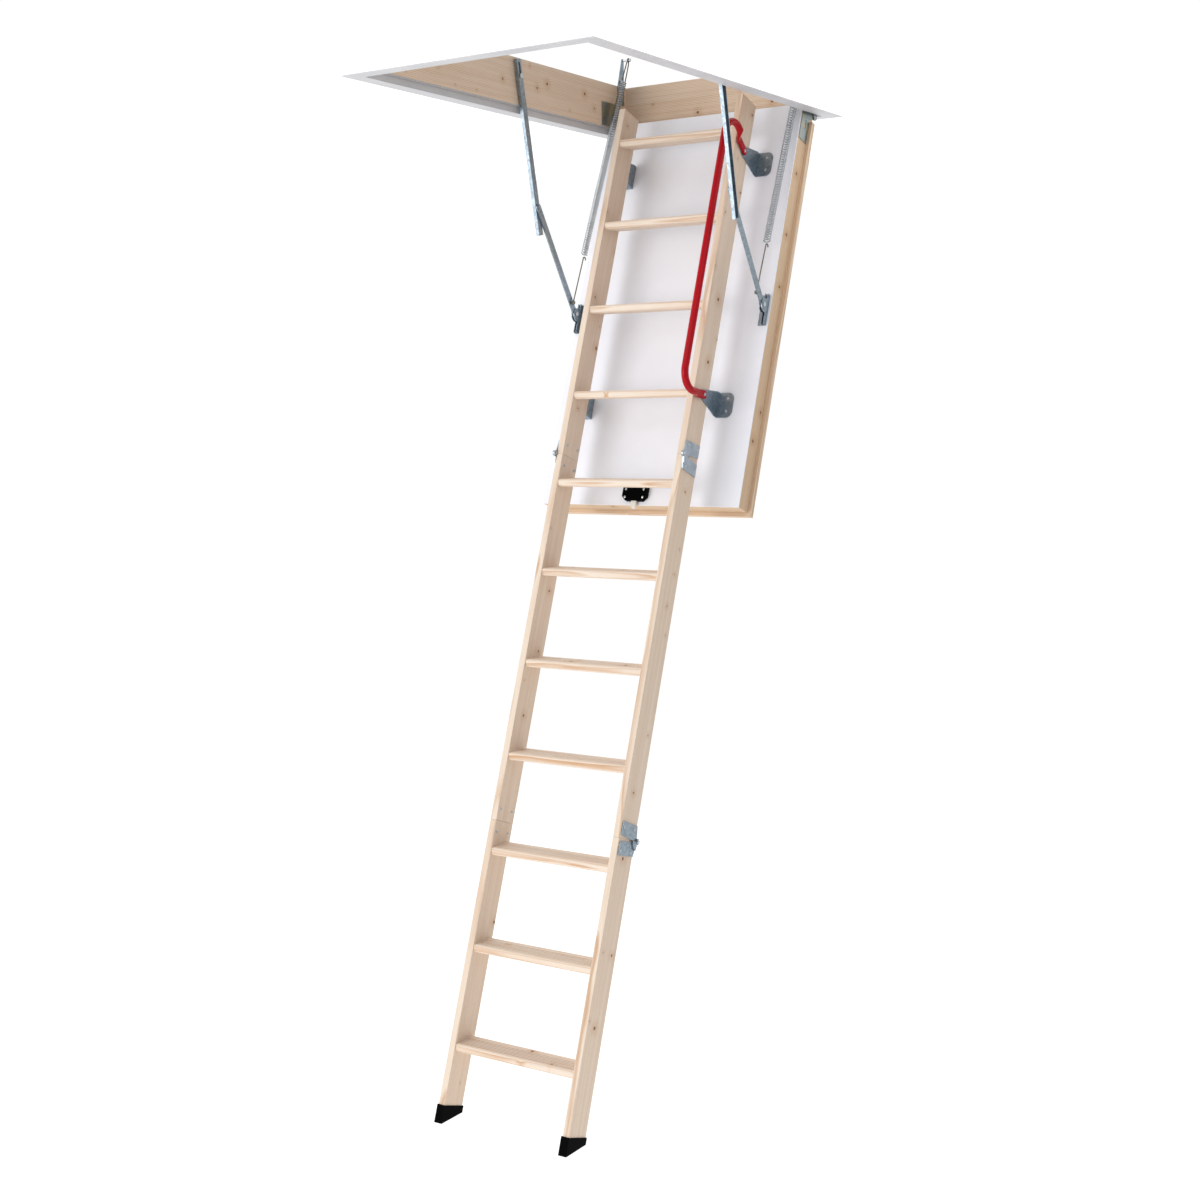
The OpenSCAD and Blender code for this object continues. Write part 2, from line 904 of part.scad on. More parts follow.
// The lower stringer's end is cut level with the floor
module lower_stringer() {
    difference() {
        stringer(floor_y - 60, lower_fold_y - seam / 2, lower_tread_ys, lower_leaf_screws);
        plate_x(-half_ladder, 2 * ladder_w) foot_cut(cap_wall + cap_gap);
    }
}

// Everything below a level line this far above the floor
module foot_cut(above) {
    translate([floor_y, ladder_front])
        rotate(-open_angle)
            translate([-300, above - 600])
                square([600, 600]);
}

module upper_right_stringer() {
    color(pine) on_hatch() upper_stringer();
}

module upper_left_stringer() {
    color(pine) on_hatch() mirror([1, 0, 0]) upper_stringer();
}

module middle_right_stringer() {
    color(pine) on_hatch() middle_stringer();
}

module middle_left_stringer() {
    color(pine) on_hatch() mirror([1, 0, 0]) middle_stringer();
}

module lower_right_stringer() {
    color(pine) on_hatch() lower_stringer();
}

module lower_left_stringer() {
    color(pine) on_hatch() mirror([1, 0, 0]) lower_stringer();
}

// A foot cap that wraps the stringer's end and stands level on the floor
module foot() {
    grow = cap_wall + cap_gap;
    difference() {
        translate([half_ladder - stringer_t - grow, floor_y - 60, ladder_back - grow])
            cube([stringer_t + 2 * grow, 60 + cap_h, stringer_d + 2 * grow]);
        plate_x(half_ladder - 2 * stringer_t, 3 * stringer_t) foot_cut(0);
        difference() {
            translate([half_ladder - stringer_t - cap_gap, floor_y - 61, ladder_back - cap_gap])
                cube([stringer_t + 2 * cap_gap, 62 + cap_h, stringer_d + 2 * cap_gap]);
            plate_x(half_ladder - 2 * stringer_t, 3 * stringer_t) foot_cut(cap_wall);
        }
    }
}

module right_foot() {
    color([0.1, 0.1, 0.1]) on_hatch() foot();
}

module left_foot() {
    color([0.1, 0.1, 0.1]) on_hatch() mirror([1, 0, 0]) foot();
}

// Folding hinges: a leaf on each stringer, turning on a pin just outside the stringers' edge.
// The upper pair's pins are at the front edge, the lower pair's at the back edge.
fold_z = ladder_front + fold_off;
lower_fold_z = ladder_back - fold_off;
leaf_len = 40;
leaf_ear = 8;
fold_pin_r = 3.5;

function leaf_holes(y, sign, edge_z, inward) =
    [for (dz = [16, stringer_d - 12]) [y + sign * (leaf_len - 10), edge_z + inward * dz]];
upper_leaf_screws = leaf_holes(fold_y, 1, ladder_front, -1);
middle_leaf_screws = leaf_holes(fold_y, -1, ladder_front, -1);
middle_low_screws = leaf_holes(lower_fold_y, 1, ladder_back, 1);
lower_leaf_screws = leaf_holes(lower_fold_y, -1, ladder_back, 1);

// Leaf outline to one side (sign) of a fold at y, growing inward from the edge
module leaf_outline(y, sign, pin_z, edge_z, inward, hole_r) {
    depth = stringer_d - 5;
    difference() {
        union() {
            translate([y, pin_z]) circle(r = leaf_ear);
            polygon([[y, pin_z + inward * leaf_ear], [y + sign * 4, pin_z + inward * 0.8],
                     [y + sign * leaf_len, edge_z + inward * 3],
                     [y + sign * (leaf_len + 4), edge_z + inward * depth],
                     [y + sign * 9, edge_z + inward * depth], [y + sign * 2, edge_z + inward * 30]]);
        }
        translate([y, pin_z]) circle(r = hole_r);
        for (p = leaf_holes(y, sign, edge_z, inward)) translate(p) circle(r = screw_r);
    }
}

// The leaf that lies flat on the stringer and holds the pin
module flat_leaf(y, sign, pin_z, edge_z, inward) {
    plate_x(half_ladder, leaf_t) leaf_outline(y, sign, pin_z, edge_z, inward, fold_pin_r);
}

// The other leaf, whose ear is cranked out over the first
module cranked_leaf(y, sign, pin_z, edge_z, inward) {
    difference() {
        plate_x(half_ladder, leaf_t) leaf_outline(y, sign, pin_z, edge_z, inward, fold_pin_r + fit);
        plate_x(half_ladder - 1, leaf_t + 1 + leaf_gap)
            translate([y, pin_z]) circle(r = leaf_ear + 2);
        plate_x(half_ladder - 1, leaf_t + 2)
            translate([y - 5, pin_z - stringer_d - 40]) square([5 + sign * 2, 2 * stringer_d + 80]);
    }
    intersection() {
        plate_x(half_ladder + leaf_t + leaf_gap, leaf_t)
            leaf_outline(y, sign, pin_z, edge_z, inward, fold_pin_r + fit);
        plate_x(half_ladder, 3 * leaf_t)
            translate([y, pin_z]) circle(r = 24);
    }
    intersection() {
        plate_x(half_ladder, leaf_t + leaf_gap + 1)
            leaf_outline(y, sign, pin_z, edge_z, inward, fold_pin_r + fit);
        plate_x(half_ladder, 3 * leaf_t)
            difference() {
                translate([y, pin_z]) circle(r = 24);
                translate([y, pin_z]) circle(r = 17);
            }
    }
}

module fold_pin(y, z) {
    bar_x(half_ladder - 2, 2 * leaf_t + leaf_gap + 2.5, y, z, fold_pin_r);
    bar_x(half_ladder + 2 * leaf_t + leaf_gap + 0.3, 2, y, z, 5.5);
}

module leaf_screws(places) {
    both_sides()
        for (p = places) {
            bar_x(half_ladder + leaf_t, 1.8, p[0], p[1], 4.2);
            bar_x(half_ladder - stringer_t - 2, 1.8, p[0], p[1], 3.2);
        }
}

module upper_hinge_top_leaves() {
    color(zinc) on_hatch() both_sides() flat_leaf(fold_y, 1, fold_z, ladder_front, -1);
}

module upper_hinge_bottom_leaves() {
    color(zinc) on_hatch() both_sides() cranked_leaf(fold_y, -1, fold_z, ladder_front, -1);
}

module upper_hinge_pins() {
    color("silver") on_hatch() both_sides() fold_pin(fold_y, fold_z);
}

module lower_hinge_top_leaves() {
    color(zinc) on_hatch() both_sides() flat_leaf(lower_fold_y, 1, lower_fold_z, ladder_back, 1);
}

module lower_hinge_bottom_leaves() {
    color(zinc) on_hatch() both_sides() cranked_leaf(lower_fold_y, -1, lower_fold_z, ladder_back, 1);
}

module lower_hinge_pins() {
    color("silver") on_hatch() both_sides() fold_pin(lower_fold_y, lower_fold_z);
}

module middle_screws() {
    color("silver") on_hatch() leaf_screws(concat(middle_leaf_screws, middle_low_screws));
}

module lower_screws() {
    color("silver") on_hatch() leaf_screws(lower_leaf_screws);
}

left_long_board();
right_long_board();
front_board();
back_board();
corner_screws();
left_trim();
right_trim();
front_trim();
back_trim();
casing_seal();
casing_hinges();
hinge_pins();
spring_anchors();
spring_anchor_pins();
latch_keeper();
hatch_left_stile();
hatch_right_stile();
hatch_front_rail();
hatch_back_rail();
hatch_core();
hatch_top_panel();
hatch_bottom_panel();
hatch_rebate();
hatch_hinges();
arm_brackets();
latch_case();
latch_bolt();
angle_brackets();
handrail();
hatch_screws();
left_upper_arm();
right_upper_arm();
left_lower_arm();
right_lower_arm();
arm_top_bolts();
bracket_bolts();
left_spring();
right_spring();
left_spring_rod();
right_spring_rod();
upper_left_stringer();
upper_right_stringer();
upper_treads();
middle_left_stringer();
middle_right_stringer();
middle_treads();
lower_left_stringer();
lower_right_stringer();
lower_treads();
left_foot();
right_foot();
upper_hinge_top_leaves();
upper_hinge_bottom_leaves();
upper_hinge_pins();
lower_hinge_top_leaves();
lower_hinge_bottom_leaves();
lower_hinge_pins();
middle_screws();
lower_screws();
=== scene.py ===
import bpy
import numpy as np
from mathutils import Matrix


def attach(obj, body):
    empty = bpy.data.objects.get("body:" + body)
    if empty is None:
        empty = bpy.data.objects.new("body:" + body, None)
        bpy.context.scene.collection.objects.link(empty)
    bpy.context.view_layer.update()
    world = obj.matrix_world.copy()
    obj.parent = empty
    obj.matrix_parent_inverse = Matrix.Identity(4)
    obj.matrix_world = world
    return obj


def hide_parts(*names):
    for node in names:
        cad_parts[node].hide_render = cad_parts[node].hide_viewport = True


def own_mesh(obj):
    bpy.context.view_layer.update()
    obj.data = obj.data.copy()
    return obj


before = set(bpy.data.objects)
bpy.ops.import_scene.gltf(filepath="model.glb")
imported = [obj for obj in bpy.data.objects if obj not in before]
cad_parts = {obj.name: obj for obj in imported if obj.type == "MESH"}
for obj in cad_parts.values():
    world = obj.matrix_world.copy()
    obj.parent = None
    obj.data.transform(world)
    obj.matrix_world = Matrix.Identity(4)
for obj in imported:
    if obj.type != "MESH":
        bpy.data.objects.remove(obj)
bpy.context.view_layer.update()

# ----------------------------------------------------------------------------------------
# Casing boards. Four planed spruce boards, 25 x 130 mm, butted and screwed at the corners.
# They are sawn from small logs, so the faces show long growth-ring figure and small knots,
# and every long edge is eased by the planer.

OPENING_W = 0.650
OPENING_L = 1.210
BOARD_T = 0.025
BOARD_Z = 0.020
BOARD_H = 0.130
HALF_W = OPENING_W / 2
HALF_L = OPENING_L / 2
X = np.array([1.0, 0.0, 0.0])
Y = np.array([0.0, 1.0, 0.0])
Z = np.array([0.0, 0.0, 1.0])


def paint(hex_colour):
    """An sRGB hex colour as linear RGBA: c / 12.92 when dark, else ((c + 0.055) / 1.055) ** 2.4."""
    c = np.array([int(hex_colour[i : i + 2], 16) for i in (1, 3, 5)]) / 255
    lin = np.where(c <= 0.04045, c / 12.92, ((c + 0.055) / 1.055) ** 2.4)
    return [*(float(v) for v in lin), 1.0]


def add(tree, kind, inputs=None, stops=None, **settings):
    """Adds a shader node with its settings; inputs maps a socket to a value or to an output."""
    made = tree.nodes.new("ShaderNode" + kind)
    for key, value in settings.items():
        setattr(made, key, value)
    for key, value in (inputs or {}).items():
        if isinstance(value, bpy.types.NodeSocket):
            tree.links.new(value, made.inputs[key])
        else:
            made.inputs[key].default_value = value
    if stops:
        ramp = made.color_ramp.elements
        while len(ramp) < len(stops):
            ramp.new(0.5)
        for element, (place, colour) in zip(ramp, stops):
            element.position = place
            element.color = colour
    return made


def new_material(name):
    """An empty material, and its shader and tree."""
    made = bpy.data.materials.new(name)
    made.use_nodes = True
    return made, made.node_tree.nodes["Principled BSDF"], made.node_tree


def spruce(name, pale, late, knot, coordinates=None, knot_share=0.42, ring=0.0042, shade_grooves=False):
    """Planed spruce. With a, b, c the distances along, across and through the board in metres,
    the ring number is sqrt((b + bend)^2 + (c + pith)^2) / ring spacing, bent by slow noise
    and pushed aside by knots; a knot is a disc round a scattered point of the face."""
    made, shader, tree = new_material(name)
    if coordinates is None:
        place = add(tree, "Attribute", attribute_name="grain").outputs["Vector"]
        knotty = add(tree, "Attribute", attribute_name="wide_face").outputs["Fac"]
    else:
        place = coordinates(tree)
        knotty = 1.0
    part = add(tree, "SeparateXYZ", {0: place})
    # Knots: one point to each 85 mm cell, of which a share carries a knot 2 to 6 mm in radius
    cells = add(tree, "TexVoronoi", {"Vector": place, "Scale": 1 / 0.085}, voronoi_dimensions="2D")
    lot = add(tree, "SeparateColor", {0: cells.outputs["Color"]})
    away = add(tree, "Math", {0: cells.outputs["Distance"], 1: 0.085}, operation="MULTIPLY")
    wobble = add(tree, "TexNoise", {"Vector": place, "Scale": 160.0, "Detail": 2.0})
    rough_away = add(
        tree, "Math", {0: wobble.outputs["Fac"], 1: 0.0034, 2: away.outputs[0]}, operation="MULTIPLY_ADD"
    )
    drawn = add(tree, "Math", {0: lot.outputs[0], 1: knot_share}, operation="LESS_THAN")
    has_knot = add(tree, "Math", {0: drawn.outputs[0], 1: knotty}, operation="MULTIPLY")
    radius = add(
        tree,
        "MapRange",
        {"Value": lot.outputs[1], "From Min": 0.0, "From Max": 1.0, "To Min": 0.0018, "To Max": 0.0062},
    )
    within = add(tree, "Math", {0: rough_away.outputs[0], 1: radius.outputs[0]}, operation="DIVIDE")
    core = add(
        tree,
        "MapRange",
        {"Value": within.outputs[0], "From Min": 0.85, "From Max": 1.25, "To Min": 1.0, "To Max": 0.0},
        interpolation_type="SMOOTHSTEP",
    )
    knots = add(tree, "Math", {0: core.outputs[0], 1: has_knot.outputs[0]}, operation="MULTIPLY")
    swirl = add(
        tree,
        "MapRange",
        {"Value": within.outputs[0], "From Min": 0.6, "From Max": 5.5, "To Min": 1.0, "To Max": 0.0},
        interpolation_type="SMOOTHSTEP",
    )
    push = add(tree, "Math", {0: swirl.outputs[0], 1: has_knot.outputs[0]}, operation="MULTIPLY")
    # Growth rings about a pith that lies outside the board
    slow = add(tree, "Mapping", {0: place, "Scale": (1.1, 9.0, 9.0)})
    bend = add(tree, "TexNoise", {"Vector": slow.outputs[0], "Scale": 1.0, "Detail": 3.0})
    shifted = add(
        tree, "Math", {0: bend.outputs["Fac"], 1: 0.026, 2: part.outputs[1]}, operation="MULTIPLY_ADD"
    )
    pith = add(tree, "Math", {0: part.outputs[2], 1: 0.055}, operation="ADD")
    across2 = add(tree, "Math", {0: shifted.outputs[0], 1: 2.0}, operation="POWER")
    through2 = add(tree, "Math", {0: pith.outputs[0], 1: pith.outputs[0]}, operation="MULTIPLY")
    square = add(tree, "Math", {0: across2.outputs[0], 1: through2.outputs[0]}, operation="ADD")
    reach = add(tree, "Math", {0: square.outputs[0]}, operation="SQRT")
    pushed = add(tree, "Math", {0: push.outputs[0], 1: 0.0045, 2: reach.outputs[0]}, operation="MULTIPLY_ADD")
    number = add(tree, "Math", {0: pushed.outputs[0], 1: ring}, operation="DIVIDE")
    year = add(tree, "Math", {0: number.outputs[0]}, operation="FRACT")
    black, dim, white = (0, 0, 0, 1), (0.28, 0.28, 0.28, 1), (1, 1, 1, 1)
    late_wood = add(
        tree,
        "ValToRGB",
        {0: year.outputs[0]},
        stops=[(0.0, black), (0.55, dim), (0.86, white), (1.0, black)],
    )
    # Fibres 0.9 mm wide and about 60 mm long
    fibre_place = add(tree, "Mapping", {0: place, "Scale": (16.0, 1100.0, 1100.0)})
    fibre = add(tree, "TexNoise", {"Vector": fibre_place.outputs[0], "Scale": 1.0, "Detail": 3.0})
    streak_place = add(tree, "Mapping", {0: place, "Scale": (1.6, 95.0, 95.0)})
    streak = add(tree, "TexNoise", {"Vector": streak_place.outputs[0], "Scale": 1.0, "Detail": 2.0})
    strength = add(tree, "Math", {0: streak.outputs["Fac"], 1: 2.1, 2: -0.25}, operation="MULTIPLY_ADD")
    amount = add(
        tree, "Math", {0: late_wood.outputs[0], 1: strength.outputs[0]}, operation="MULTIPLY", use_clamp=True
    )
    more = add(tree, "Math", {0: push.outputs[0], 1: 0.35, 2: amount.outputs[0]}, operation="MULTIPLY_ADD")
    wood = add(
        tree, "Mix", {"Factor": more.outputs[0], "A": paint(pale), "B": paint(late)}, data_type="RGBA"
    )
    dusk = add(
        tree,
        "MapRange",
        {"Value": fibre.outputs["Fac"], "From Min": 0.3, "From Max": 0.75, "To Min": 0.93, "To Max": 1.04},
    )
    toned = add(
        tree,
        "Mix",
        {"Factor": 1.0, "A": wood.outputs["Result"], "B": dusk.outputs[0]},
        data_type="RGBA",
        blend_type="MULTIPLY",
    )
    knot_tone = add(
        tree,
        "ValToRGB",
        {0: within.outputs[0]},
        stops=[(0.0, paint(knot)), (0.5, paint("#9A6A44")), (0.9, paint("#6A4630")), (1.0, paint("#6A4630"))],
    )
    face = add(
        tree,
        "Mix",
        {"Factor": knots.outputs[0], "A": toned.outputs["Result"], "B": knot_tone.outputs[0]},
        data_type="RGBA",
    )
    if shade_grooves:
        # Painted shade: the floors of the grooves get a darker wood colour, standing in for the shade inside
        # them
        sunk = add(tree, "Attribute", attribute_name="groove").outputs["Fac"]
        face = add(
            tree,
            "Mix",
            {"Factor": sunk, "A": face.outputs["Result"], "B": paint("#8E6B48")},
            data_type="RGBA",
        )
    tree.links.new(face.outputs["Result"], shader.inputs["Base Color"])
    gloss = add(
        tree,
        "MapRange",
        {"Value": fibre.outputs["Fac"], "From Min": 0.2, "From Max": 0.8, "To Min": 0.50, "To Max": 0.68},
    )
    tree.links.new(gloss.outputs[0], shader.inputs["Roughness"])
    shader.inputs["Specular IOR Level"].default_value = 0.35
    relief = add(tree, "Math", {0: late_wood.outputs[0], 1: fibre.outputs["Fac"]}, operation="ADD")
    bump = add(tree, "Bump", {"Height": relief.outputs[0], "Strength": 0.22, "Distance": 0.0004})
    tree.links.new(bump.outputs[0], shader.inputs["Normal"])
    return made


def mesh_piece(name, verts, faces, material, body, slot, smooth=False, **fields):
    """A mesh in the ladder's own frame, which rides on a body; fields are vectors at its points."""
    mesh = bpy.data.meshes.new(name)
    mesh.from_pydata(verts.tolist(), [], faces)
    for key, values in fields.items():
        layer = mesh.attributes.new(key, "FLOAT_VECTOR", "POINT")
        layer.data.foreach_set("vector", np.ascontiguousarray(values, dtype=np.float32).ravel())
    mesh.validate()
    mesh.polygons.foreach_set("use_smooth", np.full(len(mesh.polygons), smooth))
    mesh.materials.append(material)
    made = bpy.data.objects.new(name, mesh)
    bpy.context.scene.collection.objects.link(made)
    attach(made, body)
    return made


def ring_quads(rows, turns):
    """Faces between closed rows of points, where point j of row i has number i * turns + j:
    each quad joins (i, j), (i + 1, j), (i + 1, j + 1) and (i, j + 1), with j counted round."""
    i, j = np.meshgrid(np.arange(rows - 1), np.arange(turns), indexing="ij")
    k = (j + 1) % turns
    corners = [i * turns + j, (i + 1) * turns + j, (i + 1) * turns + k, i * turns + k]
    return np.stack(corners, -1).reshape(-1, 4)


def plank(name, start, axes, size, material, body, slot="pine", eased=0.0015, cut=(0, 0), seed=0.0):
    """A board: a rectangle with rounded corners in the plane of the second and third axes,
    carried along the first axis. cut slants the starting end by that much per metre along
    the second and third axes. The grain attribute is (along, across, through) plus the seed."""
    along, across, through = (np.array(a, float) for a in axes)
    length, width, thick = size
    turn = np.radians(np.linspace(0, 90, 4))
    high_b, high_c = width - eased, thick - eased
    centres = [(high_b, high_c), (eased, high_c), (eased, eased), (high_b, eased)]
    corners = []
    for k, (b, c) in enumerate(centres):
        angle = turn + k * np.pi / 2
        corners.append(np.stack([b + eased * np.cos(angle), c + eased * np.sin(angle)], 1))
    profile = np.concatenate(corners)
    n = len(profile)
    slant = profile @ np.array(cut, float)
    local = np.concatenate([np.column_stack([a, profile]) for a in (slant, np.full(n, length))])
    verts = np.array(start) + local @ np.array([along, across, through])
    sides = ring_quads(2, n)[:, [0, 3, 2, 1]]
    ends = [list(range(n))[::-1], list(range(n, 2 * n))]
    if np.dot(np.cross(along, across), through) < 0:
        sides = sides[:, ::-1]
        ends = [e[::-1] for e in ends]
    middle = np.array([0.0, width / 2, thick / 2])
    grain = local - middle + np.array([seed * 0.731, seed * 0.313, 0.0])
    wide = np.isclose(local[:, 2], 0) | np.isclose(local[:, 2], thick)
    wide_face = np.repeat(wide[:, None].astype(float), 3, axis=1)
    faces = sides.tolist() + ends
    return mesh_piece(name, verts, faces, material, body, slot, grain=grain, wide_face=wide_face)


casing_spruce = spruce("planed_spruce_casing", "#EFDCC8", "#CDA680", "#A8764A", knot_share=0.6)
planks = {
    "left_long_board": ((-HALF_W, -HALF_L - BOARD_T, BOARD_Z), (Y, Z, -X), OPENING_L + 2 * BOARD_T, 1.0),
    "right_long_board": ((HALF_W, -HALF_L - BOARD_T, BOARD_Z), (Y, Z, X), OPENING_L + 2 * BOARD_T, 4.0),
    "front_board": ((-HALF_W, -HALF_L, BOARD_Z), (X, Z, -Y), OPENING_W, 6.0),
    "back_board": ((-HALF_W, HALF_L, BOARD_Z), (X, Z, Y), OPENING_W, 9.0),
}
for node, (start, axes, length, seed) in planks.items():
    size = (length, BOARD_H, BOARD_T)
    board = plank(node + "_spruce", start, axes, size, casing_spruce, "casing", seed=seed)
    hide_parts(node)


def dress(material, *nodes):
    """Gives CAD nodes their material."""
    for node in nodes:
        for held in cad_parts[node].material_slots:
            held.material = material


# ----------------------------------------------------------------------------------------
# Screws, pins and rivets. Headed from steel wire and zinc-plated, with low domed heads and
# a cross recess in the screws. They are brighter than the sheet round them.


def zinc_plate(name, tint, dark, roughness, mottle):
    """Bright zinc on steel: the tone drifts in patches as wide as mottle in metres, under
    fine scratches that vary the roughness and the relief."""
    made, shader, tree = new_material(name)
    place = add(tree, "TexCoord").outputs["Object"]
    patch = add(tree, "TexNoise", {"Vector": place, "Scale": 1 / mottle, "Detail": 4.0, "Roughness": 0.6})
    tone = add(
        tree,
        "ValToRGB",
        {0: patch.outputs["Fac"]},
        stops=[(0.30, paint(dark)), (0.62, paint(tint))],
    )
    tree.links.new(tone.outputs[0], shader.inputs["Base Color"])
    shader.inputs["Metallic"].default_value = 1.0
    fine = add(tree, "TexNoise", {"Vector": place, "Scale": 900.0, "Detail": 2.0})
    gloss = add(
        tree,
        "MapRange",
        {
            "Value": fine.outputs["Fac"],
            "From Min": 0.3,
            "From Max": 0.7,
            "To Min": roughness - 0.07,
            "To Max": roughness + 0.09,
        },
    )
    tree.links.new(gloss.outputs[0], shader.inputs["Roughness"])
    bump = add(tree, "Bump", {"Height": fine.outputs["Fac"], "Strength": 0.08, "Distance": 0.0002})
    tree.links.new(bump.outputs[0], shader.inputs["Normal"])
    return made


bright_zinc = zinc_plate("bright_zinc_plated_steel", "#D4D8DB", "#A4ABB0", 0.28, 0.004)
dress(
    bright_zinc, "corner_screws", "hinge_pins", "spring_anchor_pins", "arm_top_bolts", "bracket_bolts",
    "upper_hinge_pins", "lower_hinge_pins", "latch_keeper",
)


def heads(name, places, axis, radius, height, body, recess=0.45):
    """Domed heads: at share r of the radius and angle t the height is sqrt(1 - 0.75 r^2) of
    the dome's, and nought at the rim. Where r < 0.45 and |sin 2t| < 0.8 the recess is cut."""
    places = np.array(places, float)
    axis = np.array(axis, float)
    side = np.cross(axis, X) if abs(axis[0]) < 0.9 else np.cross(axis, Z)
    side /= np.linalg.norm(side)
    other = np.cross(axis, side)
    shares = np.array([0.0, 0.2, 0.42, 0.5, 0.75, 0.93, 1.0])
    r, t = np.meshgrid(shares, np.arange(16) * np.pi / 8, indexing="ij")
    dome = np.sqrt(np.clip(1 - 0.75 * r**2, 0, 1))
    dome = np.where(r >= 0.99, 0.0, dome)
    cross = np.abs(np.sin(2 * t)) < 0.8
    dome -= np.where((r < 0.45) & cross, recess, 0.0)
    local = (
        (r * np.cos(t))[..., None] * side * radius
        + (r * np.sin(t))[..., None] * other * radius
        + dome[..., None] * axis * height
    ).reshape(-1, 3)
    verts = (places[:, None, :] + local[None]).reshape(-1, 3)
    base = (np.arange(len(places)) * r.size)[:, None, None]
    faces = (base + ring_quads(*r.shape)[None]).reshape(-1, 4).tolist()
    if np.dot(np.cross(side, other), axis) < 0:
        faces = [f[::-1] for f in faces]
    return mesh_piece(name, verts, faces, bright_zinc, body, "bright_steel")


# ----------------------------------------------------------------------------------------
# Ceiling trim. Four lengths of L-shaped steel, roll-formed from 2 mm strip and stove-enamelled
# off-white, mitred at the corners and pinned under the boards.


def enamel(name, tint, shade, roughness, peel, specular=0.5):
    """Sprayed enamel: a nearly even tone with slow drift, under an orange-peel skin whose
    dimples are as wide as peel in metres."""
    made, shader, tree = new_material(name)
    place = add(tree, "TexCoord").outputs["Object"]
    slow = add(tree, "TexNoise", {"Vector": place, "Scale": 5.0, "Detail": 4.0})
    tone = add(
        tree, "ValToRGB", {0: slow.outputs["Fac"]}, stops=[(0.35, paint(shade)), (0.65, paint(tint))]
    )
    tree.links.new(tone.outputs[0], shader.inputs["Base Color"])
    skin = add(tree, "TexNoise", {"Vector": place, "Scale": 1 / peel, "Detail": 2.0})
    gloss = add(
        tree,
        "MapRange",
        {
            "Value": skin.outputs["Fac"],
            "From Min": 0.3,
            "From Max": 0.7,
            "To Min": roughness - 0.05,
            "To Max": roughness + 0.06,
        },
    )
    tree.links.new(gloss.outputs[0], shader.inputs["Roughness"])
    shader.inputs["Specular IOR Level"].default_value = specular
    bump = add(tree, "Bump", {"Height": skin.outputs["Fac"], "Strength": 0.10, "Distance": 0.0002})
    tree.links.new(bump.outputs[0], shader.inputs["Normal"])
    return made


trim_enamel = enamel("stove_enamelled_steel", "#D2D2D5", "#C4C5C9", 0.38, 0.0015)
dress(trim_enamel, "left_trim", "right_trim", "front_trim", "back_trim")

# ----------------------------------------------------------------------------------------
# Casing seal. A soft foam-rubber strip, stapled in the rebate where the closed hatch meets
# the casing. It is pale grey and matt, with a faint bloom from age.

seal_rubber, rubber_shader, tree = new_material("soft_rubber_seal")
place = add(tree, "TexCoord").outputs["Object"]
bloom = add(tree, "TexNoise", {"Vector": place, "Scale": 120.0, "Detail": 3.0})
tone = add(
    tree,
    "ValToRGB",
    {0: bloom.outputs["Fac"]},
    stops=[(0.3, paint("#B4B4B6")), (0.7, paint("#C6C6C8"))],
)
tree.links.new(tone.outputs[0], rubber_shader.inputs["Base Color"])
rubber_shader.inputs["Roughness"].default_value = 0.75
dress(seal_rubber, "casing_seal")

# ----------------------------------------------------------------------------------------
# Hatch hinges. Stamped 2 mm steel, zinc-plated and passivated, which leaves a faint
# yellow-green and blue bloom over the grey.


def passivated(name, warm, cool, grey):
    """Passivated zinc: grey metal with an iridescent bloom, from two noises at 30 and 4 mm."""
    made, shader, tree = new_material(name)
    place = add(tree, "TexCoord").outputs["Object"]
    broad = add(tree, "TexNoise", {"Vector": place, "Scale": 34.0, "Detail": 3.0, "Distortion": 0.8})
    bloom = add(
        tree,
        "ValToRGB",
        {0: broad.outputs["Fac"]},
        stops=[(0.32, paint(cool)), (0.50, paint(grey)), (0.68, paint(warm))],
    )
    grit = add(tree, "TexNoise", {"Vector": place, "Scale": 250.0, "Detail": 3.0})
    shade = add(
        tree,
        "MapRange",
        {"Value": grit.outputs["Fac"], "From Min": 0.25, "From Max": 0.75, "To Min": 0.84, "To Max": 1.05},
    )
    tone = add(
        tree,
        "Mix",
        {"Factor": 1.0, "A": bloom.outputs[0], "B": shade.outputs[0]},
        data_type="RGBA",
        blend_type="MULTIPLY",
    )
    tree.links.new(tone.outputs["Result"], shader.inputs["Base Color"])
    shader.inputs["Metallic"].default_value = 1.0
    gloss = add(
        tree,
        "MapRange",
        {"Value": grit.outputs["Fac"], "From Min": 0.3, "From Max": 0.7, "To Min": 0.26, "To Max": 0.42},
    )
    tree.links.new(gloss.outputs[0], shader.inputs["Roughness"])
    return made


hinge_zinc = passivated("yellow_passivated_zinc", "#A6A793", "#8FA0A8", "#98A09E")
dress(hinge_zinc, "casing_hinges", "hatch_hinges")

# ----------------------------------------------------------------------------------------
# Galvanised ironwork. Arms, brackets and lower hinge leaves, pressed from hot-dip galvanised
# strip: blue-grey, with flat crystals about 5 mm across that each reflect a little
# differently. The upper hinge leaves are zinc-plated instead, so they are paler and smoother.


